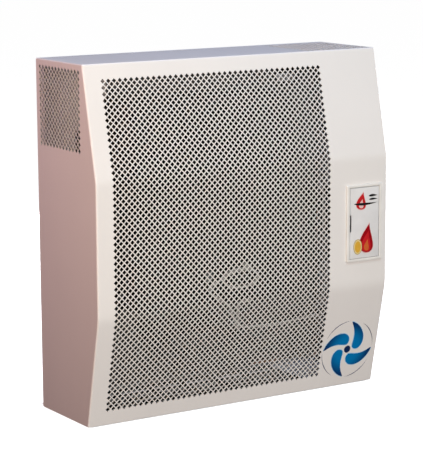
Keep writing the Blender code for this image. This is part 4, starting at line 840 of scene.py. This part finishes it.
def build_leaf(material):
    """The door leaf, with rounded edges and a notch for a fingertip."""
    low = LEAF_LOW
    high = LEAF_HIGH
    middle = (low + high) / 2
    half = (high - low) / 2
    corners = rounded_rectangle((half.x, half.z), LEAF_CORNER, 4)
    outline = [(middle.x + x, middle.z + z) for x, z in corners]
    deep = low.x + FINGER_SLOT[0]
    soft = deep - LEAF_CORNER
    top = DOOR_Z + FINGER_SLOT[1]
    bottom = DOOR_Z - FINGER_SLOT[1]
    notch = [
        (low.x, top),
        (soft, top),
        (deep, top - LEAF_CORNER),
        (deep, bottom + LEAF_CORNER),
        (soft, bottom),
        (low.x, bottom),
    ]
    upper_left_end = len(corners) // 2
    outline = outline[:upper_left_end] + notch + outline[upper_left_end:]
    mesh = extruded("door_leaf", [[(x, low.y, z) for x, z in outline]], (0, high.y - low.y, 0))
    piece = add_object("door_leaf", mesh, material, "door")
    soften(piece, SOFT_EDGE, 3)
    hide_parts("access_door")


HOOK_TAB_X = 0.196
HOOK_TAB_HALF = 0.0175
HOOK_TAB_LOW_Z = 0.5022
HOOK_TAB_HIGH_Z = 0.5172
HOOK_TAB_REACH = 0.0065


def build_hook_tabs(tab_shade, bright):
    """Tabs bent up in front of the two hanging slots, to keep a wall hook's lip in place; the left one
    gets a duller grey than the right one's zinc, as painted shade.
    """
    rear = WALL_Y - SHEET
    front = rear - HOOK_TAB_REACH
    low = HOOK_TAB_LOW_Z
    high = HOOK_TAB_HIGH_Z
    outline = [
        (rear, low),
        (front, low),
        (front, high),
        (front + SHEET, high),
        (front + SHEET, low + SHEET),
        (rear, low + SHEET),
    ]
    for side, name, material in ((-1, "hook_tab_left", tab_shade), (1, "hook_tab_right", bright)):
        start = side * HOOK_TAB_X - HOOK_TAB_HALF
        mesh = extruded(name, [[(start, y, z) for y, z in outline]], (2 * HOOK_TAB_HALF, 0, 0))
        soften(add_object(name, mesh, material), SOFT_EDGE, 2)


# ---------------------------------------------------------------------------------------------
# Printed marks, as thin stickers
# ---------------------------------------------------------------------------------------------
STICKER = 0.00008
STICKER_LIFT = 0.00002


def surface_frame(origin, right, up):
    """Placement whose local X is right, Y is up and Z points out of the surface."""
    right = Vector(right)
    up = Vector(up)
    turn = Matrix((right, up, right.cross(up))).transposed()
    return Matrix.Translation(origin) @ turn.to_4x4()


def sticker(name, outlines, material, place, layer=0, body="casing"):
    """Flat printed shapes with a little thickness, on the local XY plane."""
    base = STICKER_LIFT + layer * (STICKER + STICKER_LIFT)
    mesh = extruded(name, [[(x, y, base) for x, y in outline] for outline in outlines], (0, 0, STICKER))
    add_object(name, mesh, material, body, place)


def polar(radius, angle):
    return Vector((radius * math.cos(angle), radius * math.sin(angle)))


EMBLEM_CENTRE = (0.2140, 0.0640)  # X and Z
EMBLEM_HUB = 0.0065
EMBLEM_ROOT = 0.0095
EMBLEM_TIP = 0.0500
EMBLEM_BLADES = 4
EMBLEM_SWEEP = math.radians(66)
EMBLEM_BLADE_HALF = 0.0138
EMBLEM_HALO = 0.0012
EMBLEM_TURN = math.radians(20)
EMBLEM_ARC_RADIUS = 0.0515
EMBLEM_ARC_WIDTH = 0.0012
EMBLEM_ARC_LEAD = math.radians(70)
EMBLEM_ARC_SPAN = math.radians(62)


def blade_outline(turn, grow):
    """A swept rotor blade, widest past its middle; grow widens it all round."""
    near = []
    far = []
    count = 28
    for index in range(count + 1):
        share = index / count
        radius = EMBLEM_ROOT - grow + (EMBLEM_TIP - EMBLEM_ROOT + 2 * grow) * share
        angle = turn + EMBLEM_SWEEP * share**1.25
        swell = math.sin(math.pi * share**0.9) ** 0.70 if 0 < index < count else 0.0
        half = (EMBLEM_BLADE_HALF + grow) * swell
        middle = polar(radius, angle)
        side = polar(1.0, angle + math.pi / 2)
        near.append(middle + side * half)
        far.append(middle - side * half)
    return near + far[-2:0:-1]


def arc_outline(radius, start, end, thickness):
    """A thin arc, thickest at its middle and tapering to points."""
    outer = []
    inner = []
    count = 24
    for index in range(count + 1):
        share = index / count
        angle = start + (end - start) * share
        half = thickness / 2 * math.sin(math.pi * share)
        outer.append(polar(radius + half, angle))
        inner.append(polar(radius - half, angle))
    return outer + inner[-2:0:-1]


def disc_outline(centre, radius, count=40):
    return [Vector(centre) + polar(radius, math.tau * index / count) for index in range(count)]


def build_emblem(inks):
    """A plain rotor sign on the lower slope, right of the punched field."""
    x, z = EMBLEM_CENTRE
    y = EDGE_Y - z * math.tan(SLOPE)
    up = (0, -math.sin(SLOPE), math.cos(SLOPE))
    place = surface_frame((x, y, z), (1, 0, 0), up)
    turns = [math.tau * index / EMBLEM_BLADES + EMBLEM_TURN for index in range(EMBLEM_BLADES)]
    halo = [blade_outline(turn, EMBLEM_HALO) for turn in turns]
    sticker("emblem_halo", halo, inks["pale_blue"], place)
    blades = [blade_outline(turn, 0.0) for turn in turns]
    sticker("emblem_blades", blades, inks["blue"], place, 1)
    hub = [disc_outline((0, 0), EMBLEM_HUB)]
    sticker("emblem_hub", hub, inks["navy"], place, 1)
    arcs = []
    for turn in turns:
        start = turn + EMBLEM_ARC_LEAD
        arcs.append(arc_outline(EMBLEM_ARC_RADIUS, start, start + EMBLEM_ARC_SPAN, EMBLEM_ARC_WIDTH))
    sticker("emblem_arcs", arcs, inks["navy"], place, 0)


def flame_outline(centre, width, height, lean, grow=0.0):
    """A teardrop flame standing on centre, its tip leaning towards +X by lean; grow widens it."""
    points = []
    count = 48
    for index in range(count):
        angle = math.tau * index / count
        rise = (1 + math.cos(angle)) / 2
        across = (width / 1.3 + grow) * math.sin(angle) * abs(math.sin(angle / 2)) ** 1.6
        curl = lean * (rise**2.2 - 0.55 * math.sin(math.pi * rise))
        z = centre[1] - grow + (height + 2.6 * grow) * rise
        points.append(Vector((centre[0] + across + curl, z)))
    return points


def oval_outline(centre, half, count=44):
    angles = [math.tau * index / count for index in range(count)]
    return [Vector((centre[0] + half[0] * math.cos(a), centre[1] + half[1] * math.sin(a))) for a in angles]


def bar_outline(left, right, z, thickness, rise):
    """A stroke that is thickest a third of the way along and tapers to its ends."""
    upper = []
    lower = []
    count = 18
    for index in range(count + 1):
        share = index / count
        half = thickness / 2 * math.sin(math.pi * share**0.7)
        middle = Vector((left + (right - left) * share, z + rise * math.sin(math.pi * share)))
        upper.append(middle + Vector((0, half)))
        lower.append(middle - Vector((0, half)))
    return upper + lower[-2:0:-1]


def build_door_marks(inks):
    """Plain flames, strokes and a yellow oval on the door leaf, in layers where they overlap."""
    place = surface_frame((DOOR_X, LEAF_LOW.y, DOOR_Z), (1, 0, 0), (0, 0, 1))

    def mark(name, outline, ink, layer):
        sticker(name, [outline], inks[ink], place, layer, "door")

    upper = ((-0.0062, 0.0225), 0.0185, 0.0285, 0.0040)
    mark("upper_halo", flame_outline(*upper, 0.0012), "pink", 0)
    mark("upper_flame", flame_outline(*upper), "red", 1)
    mark("upper_flame_core", flame_outline((-0.0066, 0.0245), 0.0085, 0.0150, 0.0020), "pink", 2)
    mark("upper_stroke", bar_outline(-0.0225, 0.0262, 0.0325, 0.0042, -0.0014), "black", 3)
    mark("upper_bar", bar_outline(0.0078, 0.0258, 0.0440, 0.0040, 0.0006), "black", 3)
    mark("middle_bar", bar_outline(0.0085, 0.0262, 0.0380, 0.0034, 0.0006), "black", 3)
    lower = ((0.0052, -0.0505), 0.0262, 0.0490, 0.0050)
    mark("lower_halo", flame_outline(*lower, 0.0014), "pink", 0)
    mark("lower_flame", flame_outline(*lower), "dark_red", 1)
    mark("lower_flame_middle", flame_outline((0.0046, -0.0488), 0.0180, 0.0350, 0.0040), "red", 2)
    mark("lower_flame_core", flame_outline((0.0046, -0.0472), 0.0092, 0.0190, 0.0022), "orange", 3)
    oval = (-0.0138, -0.0395)
    mark("oval_rim", oval_outline(oval, (0.0089, 0.0128)), "ochre", 2)
    mark("oval_band", oval_outline(oval, (0.0081, 0.0119)), "pale_yellow", 3)
    mark("oval_middle", oval_outline(oval, (0.0062, 0.0096)), "yellow", 4)


# ---------------------------------------------------------------------------------------------
# Stage, camera and light
# ---------------------------------------------------------------------------------------------
CAMERA_PLACE = (-1.6614, -2.6068, 0.8228)
CAMERA_YAW = math.radians(32.34)
CAMERA_PITCH = math.radians(10.14)
CAMERA_ROLL = math.radians(0.33)
CAMERA_LENS = 147.5
FLOOR_RADIUS = 40.0
FLOOR_GAP = 0.0005


def build_camera():
    side = Vector((math.cos(CAMERA_YAW), -math.sin(CAMERA_YAW), 0))
    ahead = Vector((math.sin(CAMERA_YAW), math.cos(CAMERA_YAW), 0))
    forward = ahead * math.cos(CAMERA_PITCH) - Vector((0, 0, math.sin(CAMERA_PITCH)))
    over = ahead * math.sin(CAMERA_PITCH) + Vector((0, 0, math.cos(CAMERA_PITCH)))
    right = side * math.cos(CAMERA_ROLL) - over * math.sin(CAMERA_ROLL)
    up = side * math.sin(CAMERA_ROLL) + over * math.cos(CAMERA_ROLL)
    data = bpy.data.cameras.new("camera")
    data.lens = CAMERA_LENS
    data.sensor_width = 36.0
    data.clip_end = 5 * FLOOR_RADIUS
    camera = bpy.data.objects.new("camera", data)
    bpy.context.scene.collection.objects.link(camera)
    turn = Matrix((right, up, -forward)).transposed()
    camera.matrix_world = Matrix.Translation(CAMERA_PLACE) @ turn.to_4x4()
    bpy.context.scene.camera = camera


FLOOR_GLOW = 0.98
SHADOW_PATCH_HALF = (0.262, 0.082)  # half sizes of the part of the floor, under and behind, that doesn't glow: a painted contact shadow
SHADOW_PATCH_MIDDLE_Y = 0.034
SHADOW_PATCH_FADE = 0.010  # width of its edge


def floor_finish():
    """White paper that glows, except under the heater, where the intake slots would show it; the patch
    that doesn't glow is a painted contact shadow.
    """
    finish = Finish("floor", (0.86, 0.86, 0.86), 0.9)
    finish.shader.inputs["Emission Color"].default_value = (1, 1, 1, 1)
    finish.shader.inputs["Specular IOR Level"].default_value = 0.1
    place = finish.node("ShaderNodeSeparateXYZ")
    finish.link(finish.place, place.inputs[0])
    beyond = []
    for axis, middle, half in (("X", 0.0, SHADOW_PATCH_HALF[0]), ("Y", SHADOW_PATCH_MIDDLE_Y, SHADOW_PATCH_HALF[1])):
        centred = finish.math("SUBTRACT", place.outputs[axis], middle)
        beyond.append(finish.math("SUBTRACT", finish.math("ABSOLUTE", centred), half))
    glow = finish.node("ShaderNodeMapRange", interpolation_type="SMOOTHSTEP")
    glow.inputs["From Min"].default_value = 0.0
    glow.inputs["From Max"].default_value = SHADOW_PATCH_FADE
    glow.inputs["To Max"].default_value = FLOOR_GLOW
    finish.link(finish.math("MAXIMUM", *beyond), glow.inputs["Value"])
    finish.link(glow.outputs["Result"], finish.shader.inputs["Emission Strength"])
    return finish.material


def build_floor():
    mesh = bpy.data.meshes.new("floor")
    bm = bmesh.new()
    bmesh.ops.create_circle(bm, cap_ends=True, segments=64, radius=FLOOR_RADIUS)
    bm.to_mesh(mesh)
    bm.free()
    floor = bpy.data.objects.new("floor", mesh)
    floor.location.z = cad_low.z - FLOOR_GAP
    bpy.context.scene.collection.objects.link(floor)
    mesh.materials.append(floor_finish())
    floor.visible_diffuse = False  # it is seen, but lights nothing
    floor.visible_glossy = False


def area_light(name, place, target, size, power, color):
    data = bpy.data.lights.new(name, "AREA")
    data.shape = "RECTANGLE"
    data.size, data.size_y = size
    data.energy = power
    data.color = color
    light = bpy.data.objects.new(name, data)
    light.location = place
    light.rotation_mode = "QUATERNION"
    light.rotation_quaternion = (Vector(target) - Vector(place)).to_track_quat("-Z", "Y")
    bpy.context.scene.collection.objects.link(light)


LIGHTS = (  # name, place, target, size, power, colour
    ("front", (-0.20, -2.60, 0.45), (0.0, 0.0, 0.30), (1.0, 0.8), 45.4, (1.00, 0.94, 0.917)),
    ("steep", (-0.10, -1.30, 2.20), (0.0, 0.0, 0.30), (1.0, 0.8), 18.4, (0.65, 0.885, 1.00)),
    ("overhead", (0.10, 0.02, 1.75), (0.05, 0.02, 0.50), (0.7, 0.5), 7.7, (0.695, 0.70, 1.00)),
    ("left_rear", (-1.20, 0.10, 0.75), (-0.275, 0.0, 0.45), (0.6, 0.6), 2.0, (0.53, 0.27, 1.00)),
    ("left_front", (-1.20, -0.36, 0.75), (-0.275, 0.0, 0.45), (0.6, 0.6), 6.8, (1.00, 0.71, 0.435)),
    ("right_fill", (1.70, 0.20, 0.33), (0.275, 0.0, 0.30), (0.8, 0.4), 16.0, (1.00, 0.97, 0.95)),
    ("rear_fill", (0.40, 1.90, 0.33), (0.0, 0.0955, 0.30), (0.8, 0.4), 20.0, (1.00, 0.98, 0.97)),
)


def build_lights():
    world = bpy.data.worlds.new("studio")
    bpy.context.scene.world = world
    world.use_nodes = True
    background = world.node_tree.nodes["Background"]
    background.inputs["Color"].default_value = (0.012, 0.011, 0.011, 1.0)
    background.inputs["Strength"].default_value = 1.0
    for light in LIGHTS:
        area_light(*light)
    bpy.context.scene.view_settings.view_transform = "Standard"
    bpy.context.scene.view_settings.look = "None"


# ---------------------------------------------------------------------------------------------
# Putting it together
# ---------------------------------------------------------------------------------------------


def finish_cad_nodes(finishes):
    """Give each CAD node the finish of its slot in the record."""
    for part in frame["record"]["subparts"]:
        node = frame["nodes"][part["node"]]
        node.data.materials.clear()
        node.data.materials.append(finishes[part["material_slot"]])
        node.data.shade_smooth()
        node.data.set_sharp_from_angle(angle=SHARP_ANGLE)
    # painted shade inside the chassis and the tray, and painted light on the tray's right end
    replace_finish("rear_chassis", make_chassis_shade())
    replace_finish("bottom_panel", make_tray_light_and_shade())


def replace_finish(name, material):
    frame["nodes"][name].data.materials[0] = material


def build_all():
    finishes = make_finishes()
    inks = make_inks()
    finish_cad_nodes(finishes)
    enamel = finishes["casing_enamel"]
    build_front(enamel)
    build_top(enamel)
    build_side("side_skin_left", -1, enamel, "side_panel_left")
    build_side("side_skin_right", 1, enamel, "side_panel_right")
    build_bezel(finishes["door_plastic"])
    build_leaf(moulded("leaf_plastic", (0.76, 0.745, 0.73), 0.42))
    # painted shade: the left hook tab is a duller grey than the right one's zinc
    build_hook_tabs(moulded("tab_painted_shade", PLAIN_GREY, 0.6), finishes["galvanised_steel"])
    build_emblem(inks)
    build_door_marks(inks)
    build_camera()
    build_floor()
    build_lights()


build_all()
